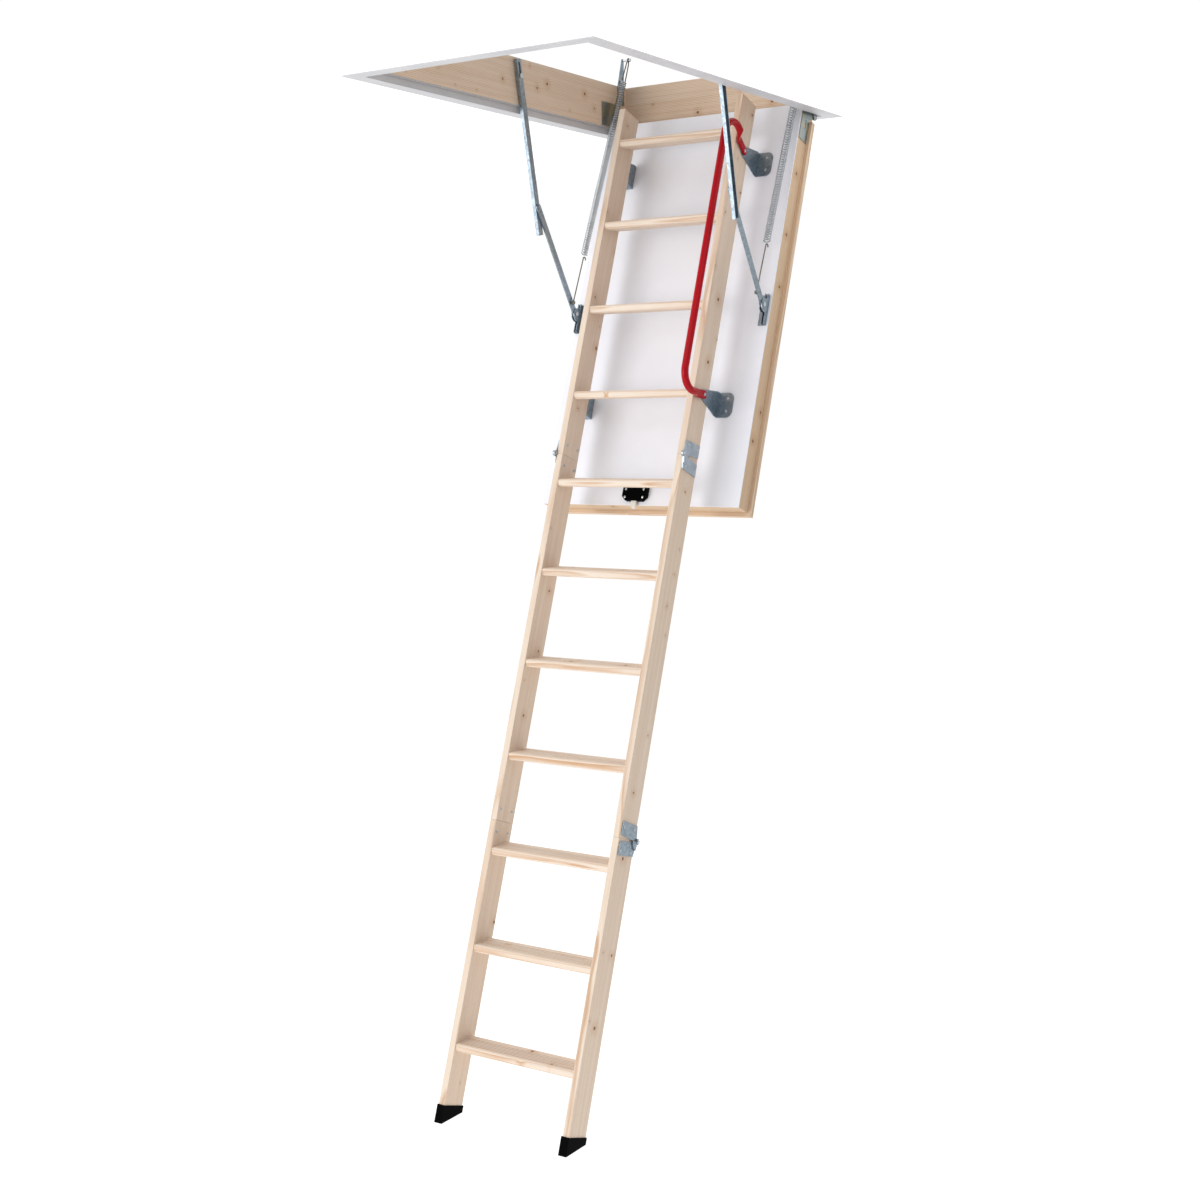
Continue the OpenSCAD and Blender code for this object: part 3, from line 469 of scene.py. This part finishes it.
def galvanised(name, tint, dark):
    """Galvanised steel: a tone and a roughness picked per crystal cell of 5 mm."""
    made, shader, tree = new_material(name)
    place = add(tree, "TexCoord").outputs["Object"]
    warp = add(tree, "TexNoise", {"Vector": place, "Scale": 180.0, "Detail": 2.0})
    pulled = add(
        tree,
        "Mix",
        {"Factor": 0.012, "A": place, "B": warp.outputs["Color"]},
        data_type="VECTOR",
    )
    crystal = add(tree, "TexVoronoi", {"Vector": pulled.outputs["Result"], "Scale": 1 / 0.005})
    lot = add(tree, "SeparateColor", {0: crystal.outputs["Color"]})
    tone = add(
        tree, "ValToRGB", {0: lot.outputs[0]}, stops=[(0.0, paint(dark)), (1.0, paint(tint))]
    )
    tree.links.new(tone.outputs[0], shader.inputs["Base Color"])
    shader.inputs["Metallic"].default_value = 1.0
    gloss = add(
        tree,
        "MapRange",
        {"Value": lot.outputs[1], "To Min": 0.30, "To Max": 0.46},
    )
    tree.links.new(gloss.outputs[0], shader.inputs["Roughness"])
    bump = add(tree, "Bump", {"Height": lot.outputs[2], "Strength": 0.05, "Distance": 0.0002})
    tree.links.new(bump.outputs[0], shader.inputs["Normal"])
    return made


iron = galvanised("galvanised_strip", "#9FABB4", "#7F8D98")
dress(
    iron, "spring_anchors", "arm_brackets", "angle_brackets", "left_upper_arm", "right_upper_arm",
    "left_lower_arm", "right_lower_arm", "lower_hinge_top_leaves", "lower_hinge_bottom_leaves",
)
dress(
    zinc_plate("zinc_plated_leaf", "#BAC5CC", "#A0ACB4", 0.36, 0.02),
    "upper_hinge_top_leaves", "upper_hinge_bottom_leaves",
)

# ----------------------------------------------------------------------------------------
# Hatch. A spruce frame filled with foam and faced with white lacquered hardboard, with a
# mitred batten frame round the room side as the rebate. Its sizes are those of the closed
# hatch, which is swung open by 70.7 degrees about the hinge pins.

SWING = np.radians(70.7)
BLOCK_HALF_W = HALF_W - 0.005
BLOCK_FRONT = -HALF_L + 0.005
BLOCK_BACK = HALF_L - 0.015
REBATE_T = 0.017
BLOCK_Z = -0.002 + REBATE_T
BLOCK_T = 0.053
HATCH_Z = BLOCK_Z + BLOCK_T
PIVOT = np.array([0.0, BLOCK_BACK - 0.005, -0.008])
UP = np.array([0.0, np.cos(SWING), np.sin(SWING)])
OUT = np.array([0.0, -np.sin(SWING), np.cos(SWING)])
PANEL_T = 0.003
STILE_W = 0.058


def swung(x, y, z):
    """A point of the closed hatch, swung open: x X + pivot + (y - pivot y) UP + (z - pivot z) OUT."""
    x, y, z = np.broadcast_arrays(*(np.asarray(v, float) for v in (x, y, z)))
    return (
        x[..., None] * X + PIVOT + (y - PIVOT[1])[..., None] * UP + (z - PIVOT[2])[..., None] * OUT
    )


frame_spruce = spruce("sawn_spruce_frame", "#DEC4A6", "#BE966E", "#8F6138", knot_share=0.5)
stile_l = BLOCK_BACK - BLOCK_FRONT
inner_half_w = BLOCK_HALF_W - STILE_W
members = {
    "hatch_left_stile": (-inner_half_w, BLOCK_FRONT, (UP, OUT, -X), stile_l, 11.0),
    "hatch_right_stile": (inner_half_w, BLOCK_FRONT, (UP, OUT, X), stile_l, 13.0),
    "hatch_front_rail": (-inner_half_w, BLOCK_FRONT, (X, OUT, UP), 2 * inner_half_w, 17.0),
    "hatch_back_rail": (-inner_half_w, BLOCK_BACK - STILE_W, (X, OUT, UP), 2 * inner_half_w, 19.0),
}
for node, (x, y, axes, length, seed) in members.items():
    piece = plank(
        node + "_spruce", swung(x, y, BLOCK_Z), axes, (length, BLOCK_T - PANEL_T, STILE_W), frame_spruce,
        "hatch", "frame_wood", eased=0.0006, seed=seed,
    )
    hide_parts(node)

panel_white = enamel("lacquered_hardboard", "#F1F3FA", "#EBEDF5", 0.42, 0.003)
dress(panel_white, "hatch_top_panel", "hatch_bottom_panel")


def mitred(tree):
    """Board coordinates of the mitred rebate: the hatch turned back level, and then lengthwise
    on the side battens and crosswise on the end battens, split where |x| passes the mitre."""
    place = add(tree, "TexCoord").outputs["Object"]
    level = add(
        tree,
        "VectorRotate",
        {"Vector": place, "Center": tuple(PIVOT), "Axis": (1, 0, 0), "Angle": -float(SWING)},
    )
    part = add(tree, "SeparateXYZ", {0: level.outputs[0]})
    far_x = add(tree, "Math", {0: part.outputs[0]}, operation="ABSOLUTE")
    far_y = add(tree, "Math", {0: part.outputs[1]}, operation="ABSOLUTE")
    edge = add(tree, "Math", {0: far_y.outputs[0], 1: (stile_l - 2 * BLOCK_HALF_W) / 2}, operation="SUBTRACT")
    on_side = add(tree, "Math", {0: far_x.outputs[0], 1: edge.outputs[0]}, operation="GREATER_THAN")
    lengthwise = add(tree, "CombineXYZ", {0: part.outputs[1], 1: part.outputs[0], 2: part.outputs[2]})
    return add(
        tree,
        "Mix",
        {"Factor": on_side.outputs[0], "A": level.outputs[0], "B": lengthwise.outputs[0]},
        data_type="VECTOR",
    ).outputs["Result"]


dress(spruce("mitred_spruce_batten", "#E2CAB0", "#C69C74", "#A8764A", mitred), "hatch_rebate")

foam_fill, foam_shader, tree = new_material("expanded_foam_fill")
place = add(tree, "TexCoord").outputs["Object"]
beads = add(tree, "TexVoronoi", {"Vector": place, "Scale": 1 / 0.004})
tone = add(
    tree,
    "ValToRGB",
    {0: beads.outputs["Distance"]},
    stops=[(0.2, paint("#F4F4EE")), (0.8, paint("#D9D9D0"))],
)
tree.links.new(tone.outputs[0], foam_shader.inputs["Base Color"])
foam_shader.inputs["Roughness"].default_value = 0.85
dress(foam_fill, "hatch_core")

# ----------------------------------------------------------------------------------------
# Latch and foot caps. The latch has a case moulded in black nylon, screwed to the hatch, and
# a pale acetal bolt. The foot caps are moulded from the same nylon and pushed on.


def moulded(name, tint, sheen, roughness, grit, specular):
    """Moulded plastic: an even tone under a fine eroded texture, as coarse as grit in metres."""
    made, shader, tree = new_material(name)
    place = add(tree, "TexCoord").outputs["Object"]
    texture = add(tree, "TexNoise", {"Vector": place, "Scale": 1 / grit, "Detail": 3.0})
    tone = add(
        tree, "ValToRGB", {0: texture.outputs["Fac"]}, stops=[(0.3, paint(tint)), (0.75, paint(sheen))]
    )
    tree.links.new(tone.outputs[0], shader.inputs["Base Color"])
    gloss = add(
        tree,
        "MapRange",
        {
            "Value": texture.outputs["Fac"],
            "From Min": 0.3,
            "From Max": 0.7,
            "To Min": roughness - 0.06,
            "To Max": roughness + 0.08,
        },
    )
    tree.links.new(gloss.outputs[0], shader.inputs["Roughness"])
    shader.inputs["Specular IOR Level"].default_value = specular
    bump = add(tree, "Bump", {"Height": texture.outputs["Fac"], "Strength": 0.25, "Distance": 0.0002})
    tree.links.new(bump.outputs[0], shader.inputs["Normal"])
    return made


black_nylon = moulded("black_nylon", "#010101", "#050607", 0.5, 0.0008, 0.02)
dress(black_nylon, "latch_case", "left_foot", "right_foot")
dress(moulded("pale_acetal", "#DEDCD4", "#E9E7E0", 0.30, 0.0012, 0.5), "latch_bolt")

# ----------------------------------------------------------------------------------------
# Springs. Each is a coil of 3.5 mm bright spring wire on a 17.5 mm mean diameter, with
# a hairpin drawbar of the same wire that hooks over the anchor pin. The coil is drawn out
# when the hatch is open, and closes up as the hatch rises.

WIRE_R = 0.00175
COIL_R = 0.0105 - WIRE_R
PITCH = 0.0078
SPRING_X = HALF_W - 0.023
ANCHOR = np.array([0.584, 0.228])
STUD = np.array([0.264633, -0.518883])
PULL = STUD - ANCHOR
SPRING_L = float(np.hypot(*PULL))
DOWN = np.array([0.0, *(PULL / SPRING_L)])
FORE = np.cross(DOWN, X)
TOP_HOOK = 0.072
ROD_L = 0.150
ROD_GAP = 0.002
COIL_L = SPRING_L - TOP_HOOK - ROD_L - ROD_GAP
EYE_R = 0.0049
spring_wire = zinc_plate("bright_spring_wire", "#C9CDD1", "#9BA1A6", 0.18, 0.012)
dress(zinc_plate("drawn_steel_rod", "#8B8880", "#5C5A55", 0.34, 0.008), "left_spring_rod", "right_spring_rod")
drawbar_steel = zinc_plate("tempered_steel_bar", "#7F7465", "#4C453C", 0.36, 0.010)


def wire(name, path, side, radius, sides, material, body, slot):
    """A round wire: at each point of the path the ring is path + radius (side cos a + third sin a),
    where third is at right angles to the path and to side."""
    ahead = np.gradient(path, axis=0)
    ahead /= np.linalg.norm(ahead, axis=1)[:, None]
    side = side - (side * ahead).sum(1)[:, None] * ahead
    side /= np.linalg.norm(side, axis=1)[:, None]
    third = np.cross(ahead, side)
    a = np.arange(sides) * 2 * np.pi / sides
    rings = path[:, None] + radius * (
        np.cos(a)[None, :, None] * side[:, None] + np.sin(a)[None, :, None] * third[:, None]
    )
    n = len(path)
    faces = ring_quads(n, sides)[:, [0, 3, 2, 1]].tolist()
    faces.append(list(range(sides))[::-1])
    faces.append(list(range((n - 1) * sides, n * sides)))
    return mesh_piece(name, rings.reshape(-1, 3), faces, material, body, slot, smooth=True)


for side, word in ((-1, "left"), (1, "right")):
    top = np.array([side * SPRING_X, *ANCHOR])
    turns = (COIL_L - 2 * WIRE_R) / PITCH
    t = np.linspace(0, turns * 2 * np.pi, int(turns * 14))
    reach = TOP_HOOK + WIRE_R + PITCH * t / (2 * np.pi)
    out = np.cos(t)[:, None] * FORE + side * np.sin(t)[:, None] * X
    coil = wire(
        word + "_spring_coil", top + reach[:, None] * DOWN + COIL_R * out, out, WIRE_R, 7, spring_wire,
        word + "_coil", "spring_steel",
    )
    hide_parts(word + "_spring")
    start = top + TOP_HOOK * DOWN
    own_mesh(coil)
    a = np.radians(np.linspace(-72, 252, 19))
    eye = -np.sin(a)[:, None] * DOWN * EYE_R + np.cos(a)[:, None] * FORE * EYE_R
    leg = np.linspace(1, 0.14, 7)[:, None]
    leg_down = leg * (TOP_HOOK + 0.003) * DOWN
    leg_out = (EYE_R + leg * (COIL_R - EYE_R)) * FORE
    path = top + np.concatenate([leg_down + leg_out, eye, (leg_down - leg_out)[::-1]])
    wire(
        word + "_spring_drawbar", path, np.repeat(X[None], len(path), 0), WIRE_R, 10, drawbar_steel,
        word + "_coil", "spring_steel",
    )

# ----------------------------------------------------------------------------------------
# Ladder. Three sections of 20 x 80 mm planed spruce stringers, with 22 mm treads let 5 mm
# into them. The treads have a rounded nose and six anti-slip grooves, and lie level.

LADDER_HALF = 0.205
STRINGER_T = 0.020
STRINGER_D = 0.080
LADDER_BACK = HATCH_Z + 0.058
LADDER_FRONT = LADDER_BACK + STRINGER_D
FOLD_Y = BLOCK_FRONT + 0.107
UPPER_L = 1.056
MIDDLE_L = 1.032
LOWER_L = 0.793
SEAM = 0.0005
SOLE_T = 0.0025
LOWER_FOLD_Y = FOLD_Y - MIDDLE_L
FLOOR_Y = LOWER_FOLD_Y - LOWER_L
ladder_spruce = spruce("planed_spruce_ladder", "#E9D8C6", "#CDA98A", "#A8764A", knot_share=0.6)
# The tread spruce paints shade on the floors of its grooves
tread_spruce = spruce("planed_spruce_tread", "#EDDECE", "#CFA682", "#B0794A", knot_share=0.35, shade_grooves=True)

# The feet are cut level with the floor, so the stringers' back edges are the shorter ones
foot_slant = float(1 / np.tan(SWING))
heel_y = FLOOR_Y + SOLE_T + STRINGER_D * foot_slant
sections = {
    "upper": (FOLD_Y + SEAM / 2, FOLD_Y + UPPER_L, "hatch", (0, 0)),
    "middle": (LOWER_FOLD_Y + SEAM / 2, FOLD_Y - SEAM / 2, "middle_section", (0, 0)),
    "lower": (heel_y, LOWER_FOLD_Y - SEAM / 2, "lower_section", (-foot_slant, 0)),
}
for k, (section, (low_end, high_end, body, cut)) in enumerate(sections.items()):
    for side, word in ((-1, "left"), (1, "right")):
        start = swung(side * (LADDER_HALF - STRINGER_T), low_end, LADDER_BACK)
        size = (high_end - low_end, STRINGER_D, STRINGER_T)
        piece = plank(
            f"{section}_{word}_stringer_spruce", start, (UP, OUT, side * X), size, ladder_spruce, body,
            eased=0.0018, cut=cut, seed=23.0 + 5 * k + 2 * side,
        )
        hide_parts(f"{section}_{word}_stringer")

TREAD_T = 0.022
TREAD_D = 0.074
NOSE_R = 0.0085
TREAD_PITCH = 0.258
FIRST_TREAD = 0.163
NOSE_BACK = 0.007
LET_IN = 0.005
GROOVES = 6
FIRST_GROOVE = 0.011
GROOVE_PITCH = 0.008
GROOVE_W = 0.0025
GROOVE_D = 0.0012


def tread_profile():
    """The tread's end outline, from the bottom back corner round the nose and over the grooves:
    y is back from the nose and z is up from the underside."""
    low = np.radians(np.linspace(-90, -180, 7))
    high = np.radians(np.linspace(180, 90, 7))
    nose_low = np.stack([NOSE_R + NOSE_R * np.cos(low), NOSE_R + NOSE_R * np.sin(low)], 1)
    nose_high = np.stack([NOSE_R + NOSE_R * np.cos(high), TREAD_T - NOSE_R + NOSE_R * np.sin(high)], 1)
    grooves = []
    for k in range(GROOVES):
        y = FIRST_GROOVE + GROOVE_PITCH * k
        grooves += [(y, TREAD_T), (y + 0.0004, TREAD_T - GROOVE_D)]
        grooves += [(y + GROOVE_W - 0.0004, TREAD_T - GROOVE_D), (y + GROOVE_W, TREAD_T)]
    back = [(TREAD_D - 0.002, TREAD_T), (TREAD_D, TREAD_T - 0.002), (TREAD_D, 0.002), (TREAD_D - 0.002, 0.0)]
    return np.concatenate([nose_low, nose_high, grooves, back])


profile = tread_profile()
n = len(profile)
# The groove floors, which the tread's material darkens as painted shade
sunk = np.isclose(profile[:, 1], TREAD_T - GROOVE_D).astype(float)
groove = np.tile(np.repeat(sunk[:, None], 3, 1), (2, 1))
faces = ring_quads(2, n).tolist() + [list(range(n)), list(range(2 * n - 1, n - 1, -1))]
tread_half = LADDER_HALF - STRINGER_T + LET_IN
# Steps are counted from the first tread above the upper fold, and treads from the top
steps_of = {
    "upper": (range(3, -1, -1), "hatch"),
    "middle": (range(-1, -5, -1), "middle_section"),
    "lower": (range(-5, -8, -1), "lower_section"),
}
number = 1
for section, (steps, body) in steps_of.items():
    for step in steps:
        nose = swung(0.0, FOLD_Y + FIRST_TREAD + step * TREAD_PITCH, LADDER_FRONT - NOSE_BACK)
        ends = [nose + np.column_stack([np.full(n, x), profile]) for x in (-tread_half, tread_half)]
        verts = np.concatenate(ends)
        grain = np.column_stack([verts[:, 0], np.tile(profile - [TREAD_D / 2, TREAD_T / 2], (2, 1))])
        grain += np.array([0.617 * number, 0.291 * number, 0.0])
        piece = mesh_piece(
            f"tread_{number}", verts, faces, tread_spruce, body, "tread_wood",
            grain=grain, groove=groove, wide_face=np.ones((2 * n, 3)),
        )
        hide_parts(section + "_treads")
        number += 1

# ----------------------------------------------------------------------------------------
# Screws of the ladder and the hatch. The hinge leaves are screwed through the stringers,
# the ladder brackets to the hatch, and the latch case to the hatch's front end.

LEAF_T = 0.003
LEAF_SCREW_Y = 0.030
BRACKET_YS = (-0.309, 0.411)
LATCH_X = -0.008
LATCH_Y = BLOCK_FRONT + 0.010
CASE_H = 0.014
leaf_screws = {"hatch": [], "middle_section": [], "lower_section": []}
for inset in (0.016, STRINGER_D - 0.012):
    leaf_screws["hatch"].append((FOLD_Y + LEAF_SCREW_Y, LADDER_FRONT - inset))
    leaf_screws["middle_section"].append((FOLD_Y - LEAF_SCREW_Y, LADDER_FRONT - inset))
    leaf_screws["middle_section"].append((LOWER_FOLD_Y + LEAF_SCREW_Y, LADDER_BACK + inset))
    leaf_screws["lower_section"].append((LOWER_FOLD_Y - LEAF_SCREW_Y, LADDER_BACK + inset))
screws_of = {"hatch": "hatch_screws", "middle_section": "middle_screws", "lower_section": "lower_screws"}
for body, spots in leaf_screws.items():
    for side, word in ((-1, "left"), (1, "right")):
        outer = [swung(side * (LADDER_HALF + LEAF_T), y, z) for y, z in spots]
        inner = [swung(side * (LADDER_HALF - STRINGER_T), y, z) for y, z in spots]
        piece = heads(f"{body}_{word}_leaf_screws", outer, side * X, 0.0042, 0.0018, body)
        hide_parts(screws_of[body])
        heads(f"{body}_{word}_leaf_screw_tips", inner, -side * X, 0.0044, 0.0020, body)
bracket_spots = [
    swung(side * (LADDER_HALF + 0.030), y + d, HATCH_Z + LEAF_T)
    for side in (-1, 1)
    for y in BRACKET_YS
    for d in (-0.018, 0.018)
]
heads("ladder_bracket_screws", bracket_spots, OUT, 0.0045, 0.0016, "hatch")
case_spots = [
    swung(LATCH_X + dx, LATCH_Y + dy, HATCH_Z + CASE_H) for dx in (-0.029, 0.029) for dy in (0.010, 0.033)
]
heads("latch_screws", case_spots, OUT, 0.0036, 0.0012, "hatch")

# ----------------------------------------------------------------------------------------
# Handrail. 20 mm steel tube, bent at both ends, with its ends pressed flat and riveted to
# the right-hand ladder brackets, then sprayed gloss red.

RAIL_X = LADDER_HALF + 0.020
RAIL_R = 0.010
RAIL_Z = LADDER_FRONT + 0.096
BEND_R = 0.050
RIVET_Z = LADDER_BACK + 0.032
LOW_TURN, HIGH_TURN = np.radians(103), np.radians(113)
low_run = (RAIL_Z - BEND_R + BEND_R * np.cos(LOW_TURN) - RIVET_Z) / np.sin(LOW_TURN)
high_run = (RAIL_Z - BEND_R + BEND_R * np.cos(HIGH_TURN) - RIVET_Z) / np.sin(HIGH_TURN)
low_y = BRACKET_YS[0] + BEND_R * np.sin(LOW_TURN) + low_run * np.cos(LOW_TURN)
high_y = BRACKET_YS[1] - BEND_R * np.sin(HIGH_TURN) - high_run * np.cos(HIGH_TURN)
FLAT_HALF = 0.012
FLAT_T = 0.0022
FLAT_L = 0.052
EASE_L = 0.034

red_gloss = enamel("red_gloss_enamel", "#B00016", "#A40012", 0.2, 0.0012, specular=0.18)


def rail_line():
    """The tube's centre line in the closed hatch's (y, z): a straight run from the low end,
    a bend of BEND_R through LOW_TURN, the grip, a bend through HIGH_TURN, and a run back."""
    bend_z = RAIL_Z - BEND_R
    low = np.linspace(LOW_TURN, 0, 25)
    high = np.linspace(0, HIGH_TURN, 25)
    low_bend = np.stack([low_y - BEND_R * np.sin(low), bend_z + BEND_R * np.cos(low)], 1)
    high_bend = np.stack([high_y + BEND_R * np.sin(high), bend_z + BEND_R * np.cos(high)], 1)
    first = np.array([BRACKET_YS[0], RIVET_Z])
    last = np.array([BRACKET_YS[1], RIVET_Z])
    over = 0.0118
    u0 = (low_bend[0] - first) / np.linalg.norm(low_bend[0] - first)
    u1 = (last - high_bend[-1]) / np.linalg.norm(last - high_bend[-1])
    s = np.linspace(0, 1, 40)[:-1, None]
    start = (first - over * u0) * (1 - s) + low_bend[0] * s
    middle = low_bend[-1] * (1 - s[1:]) + high_bend[0] * s[1:]
    s = np.linspace(0, 1, 40)[1:, None]
    end = high_bend[-1] * (1 - s) + (last + over * u1) * s
    return np.concatenate([start, low_bend, middle, high_bend, end])


line = rail_line()
along = np.concatenate([[0], np.cumsum(np.linalg.norm(np.diff(line, axis=0), axis=1))])
from_end = np.minimum(along, along[-1] - along)
# The ends are flat for FLAT_L, and swell to the round tube over EASE_L by 3 e^2 - 2 e^3
ease = np.clip((from_end - FLAT_L) / EASE_L, 0, 1)
ease = ease * ease * (3 - 2 * ease)
round_end = np.sqrt(np.clip(1 - np.clip(1 - from_end / FLAT_HALF, 0, 1) ** 2, 0, 1))
half_wide = (FLAT_HALF + (RAIL_R - FLAT_HALF) * ease) * np.maximum(round_end, 0.02)
half_thick = (FLAT_T + (RAIL_R - FLAT_T) * ease) * np.maximum(np.sqrt(round_end), 0.05)
centre_x = (LADDER_HALF + LEAF_T + FLAT_T + 0.0002) * (1 - ease) + RAIL_X * ease
heading = np.gradient(line, axis=0)
heading /= np.linalg.norm(heading, axis=1)[:, None]
sideways = np.stack([-heading[:, 1], heading[:, 0]], 1)
a = np.arange(28) * 2 * np.pi / 28
# The pressed ends are nearly square in section, so the sine and cosine are sharpened there
sharp = (0.55 + 0.45 * ease)[:, None]
wide = np.sign(np.cos(a))[None] * np.abs(np.cos(a))[None] ** sharp
thick = np.sign(np.sin(a))[None] * np.abs(np.sin(a))[None] ** sharp
ring_yz = line[:, None] + (half_wide[:, None] * wide)[..., None] * sideways[:, None]
ring_x = centre_x[:, None] + half_thick[:, None] * thick
rings = swung(ring_x, ring_yz[..., 0], ring_yz[..., 1])
n, m = ring_x.shape
faces = ring_quads(n, m).tolist() + [list(range(m)), list(range((n - 1) * m, n * m))[::-1]]
rail = mesh_piece("handrail_tube", rings.reshape(-1, 3), faces, red_gloss, "hatch", "red_rail", smooth=True)
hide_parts("handrail")
rail_rivets = [swung(LADDER_HALF + LEAF_T + 2 * FLAT_T, y, RIVET_Z) for y in BRACKET_YS]
heads("handrail_rivets", rail_rivets, X, 0.005, 0.0024, "hatch", recess=0.0)
left_rivets = [swung(-LADDER_HALF - LEAF_T, y, RIVET_Z) for y in BRACKET_YS]
heads("left_bracket_rivets", left_rivets, -X, 0.005, 0.0020, "hatch", recess=0.0)

# ----------------------------------------------------------------------------------------
# Setting. A pale floor under the feet and the ceiling that the casing is built into, in a
# white room, with a large soft lamp at the front left, a weak one at the right, and the camera.

FLOOR_REACH = 2.6
CEILING_MARGIN = 0.75
CEILING_GAP = 0.030
CEILING_Z = 0.0004
FLOOR_Z = float(swung(0.0, FLOOR_Y, LADDER_FRONT)[2])


def setting(name, verts, faces, colour, glow):
    """A matt surface of the room with a little light of its own."""
    mesh = bpy.data.meshes.new(name)
    mesh.from_pydata(verts, [], faces)
    made = bpy.data.objects.new(name, mesh)
    bpy.context.scene.collection.objects.link(made)
    matt, shader, tree = new_material(name + "_matt")
    shader.inputs["Base Color"].default_value = paint(colour)
    shader.inputs["Roughness"].default_value = 0.9
    shader.inputs["Specular IOR Level"].default_value = 0.0
    shader.inputs["Emission Color"].default_value = (1, 1, 1, 1)
    shader.inputs["Emission Strength"].default_value = glow
    mesh.materials.append(matt)
    return made


def rectangle(half_x, low_y, high_y, z):
    """The corners of a level rectangle, anticlockwise from above."""
    return [(-half_x, low_y, z), (half_x, low_y, z), (half_x, high_y, z), (-half_x, high_y, z)]


floor = rectangle(FLOOR_REACH, -FLOOR_REACH - 1.0, FLOOR_REACH, FLOOR_Z)
setting("floor", floor, [(0, 1, 2, 3)], "#8C8C8C", 0.95)
outer_y, hole_y = HALF_L + CEILING_MARGIN, HALF_L + CEILING_GAP
outer = rectangle(HALF_W + CEILING_MARGIN, -outer_y, outer_y, CEILING_Z)
hole = rectangle(HALF_W + CEILING_GAP, -hole_y, hole_y, CEILING_Z)
faces = [(k, k + 4, (k + 1) % 4 + 4, (k + 1) % 4) for k in range(4)]
setting("ceiling", outer + hole, faces, "#8C8C8C", 0.95)

# The room is white on the far side of the ladder and dim on the near side, where the lamps stand
world = bpy.data.worlds.new("studio")
bpy.context.scene.world = world
world.use_nodes = True
tree = world.node_tree
way = add(tree, "TexCoord").outputs["Generated"]
near_side = add(tree, "VectorMath", {0: way, 1: (0.830, -0.550, -0.090)}, operation="DOT_PRODUCT")
glow = add(
    tree,
    "MapRange",
    {
        "Value": near_side.outputs["Value"],
        "From Min": -0.35,
        "From Max": 0.45,
        "To Min": 1.02,
        "To Max": 0.46,
    },
    interpolation_type="SMOOTHSTEP",
)
tree.nodes["Background"].inputs[0].default_value = (1.0, 1.0, 1.0, 1.0)
tree.links.new(glow.outputs[0], tree.nodes["Background"].inputs[1])


def lamp(name, place, aim, size, power):
    """A white square light at a place, aimed at a point, with its side in metres and its watts."""
    data = bpy.data.lights.new(name, "AREA")
    data.size = size
    data.energy = power
    made = bpy.data.objects.new(name, data)
    bpy.context.scene.collection.objects.link(made)
    back = np.array(place, float) - np.array(aim, float)
    back /= np.linalg.norm(back)
    side = np.cross([0, 0, 1.0], back)
    side /= np.linalg.norm(side)
    up = np.cross(back, side)
    turn = np.eye(4)
    turn[:3, :3] = np.stack([side, up, back], 1)
    turn[:3, 3] = place
    made.matrix_world = turn.T.tolist()


lamp("key", (-3.0, -7.0, -1.0), (0, -0.6, -1.2), 4.5, 245)
lamp("fill", (3.0, 0.6, -0.7), (0, -0.6, -1.1), 1.8, 6)

YAW, PITCH_UP, ROLL = np.radians([33.51362, -4.83078, -0.71136])
forward = np.array([-np.sin(YAW) * np.cos(PITCH_UP), np.cos(YAW) * np.cos(PITCH_UP), np.sin(PITCH_UP)])
right = np.array([np.cos(YAW), np.sin(YAW), 0.0])
above = np.cross(right, forward)
turned = np.cos(ROLL) * right + np.sin(ROLL) * above
upright = -np.sin(ROLL) * right + np.cos(ROLL) * above
lens = bpy.data.cameras.new("camera")
lens.sensor_width = 36.0
lens.lens = 52.1596443
lens.shift_x = 0.014095525
lens.shift_y = -0.0285433
lens.clip_end = 60.0
camera = bpy.data.objects.new("camera", lens)
bpy.context.scene.collection.objects.link(camera)
pose = np.eye(4)
pose[:3, :3] = np.stack([turned, upright, -forward], 1)
pose[:3, 3] = (2.5532982, -4.0121973, -0.8585928)
camera.matrix_world = pose.T.tolist()
bpy.context.scene.camera = camera
bpy.context.scene.view_settings.view_transform = "Standard"
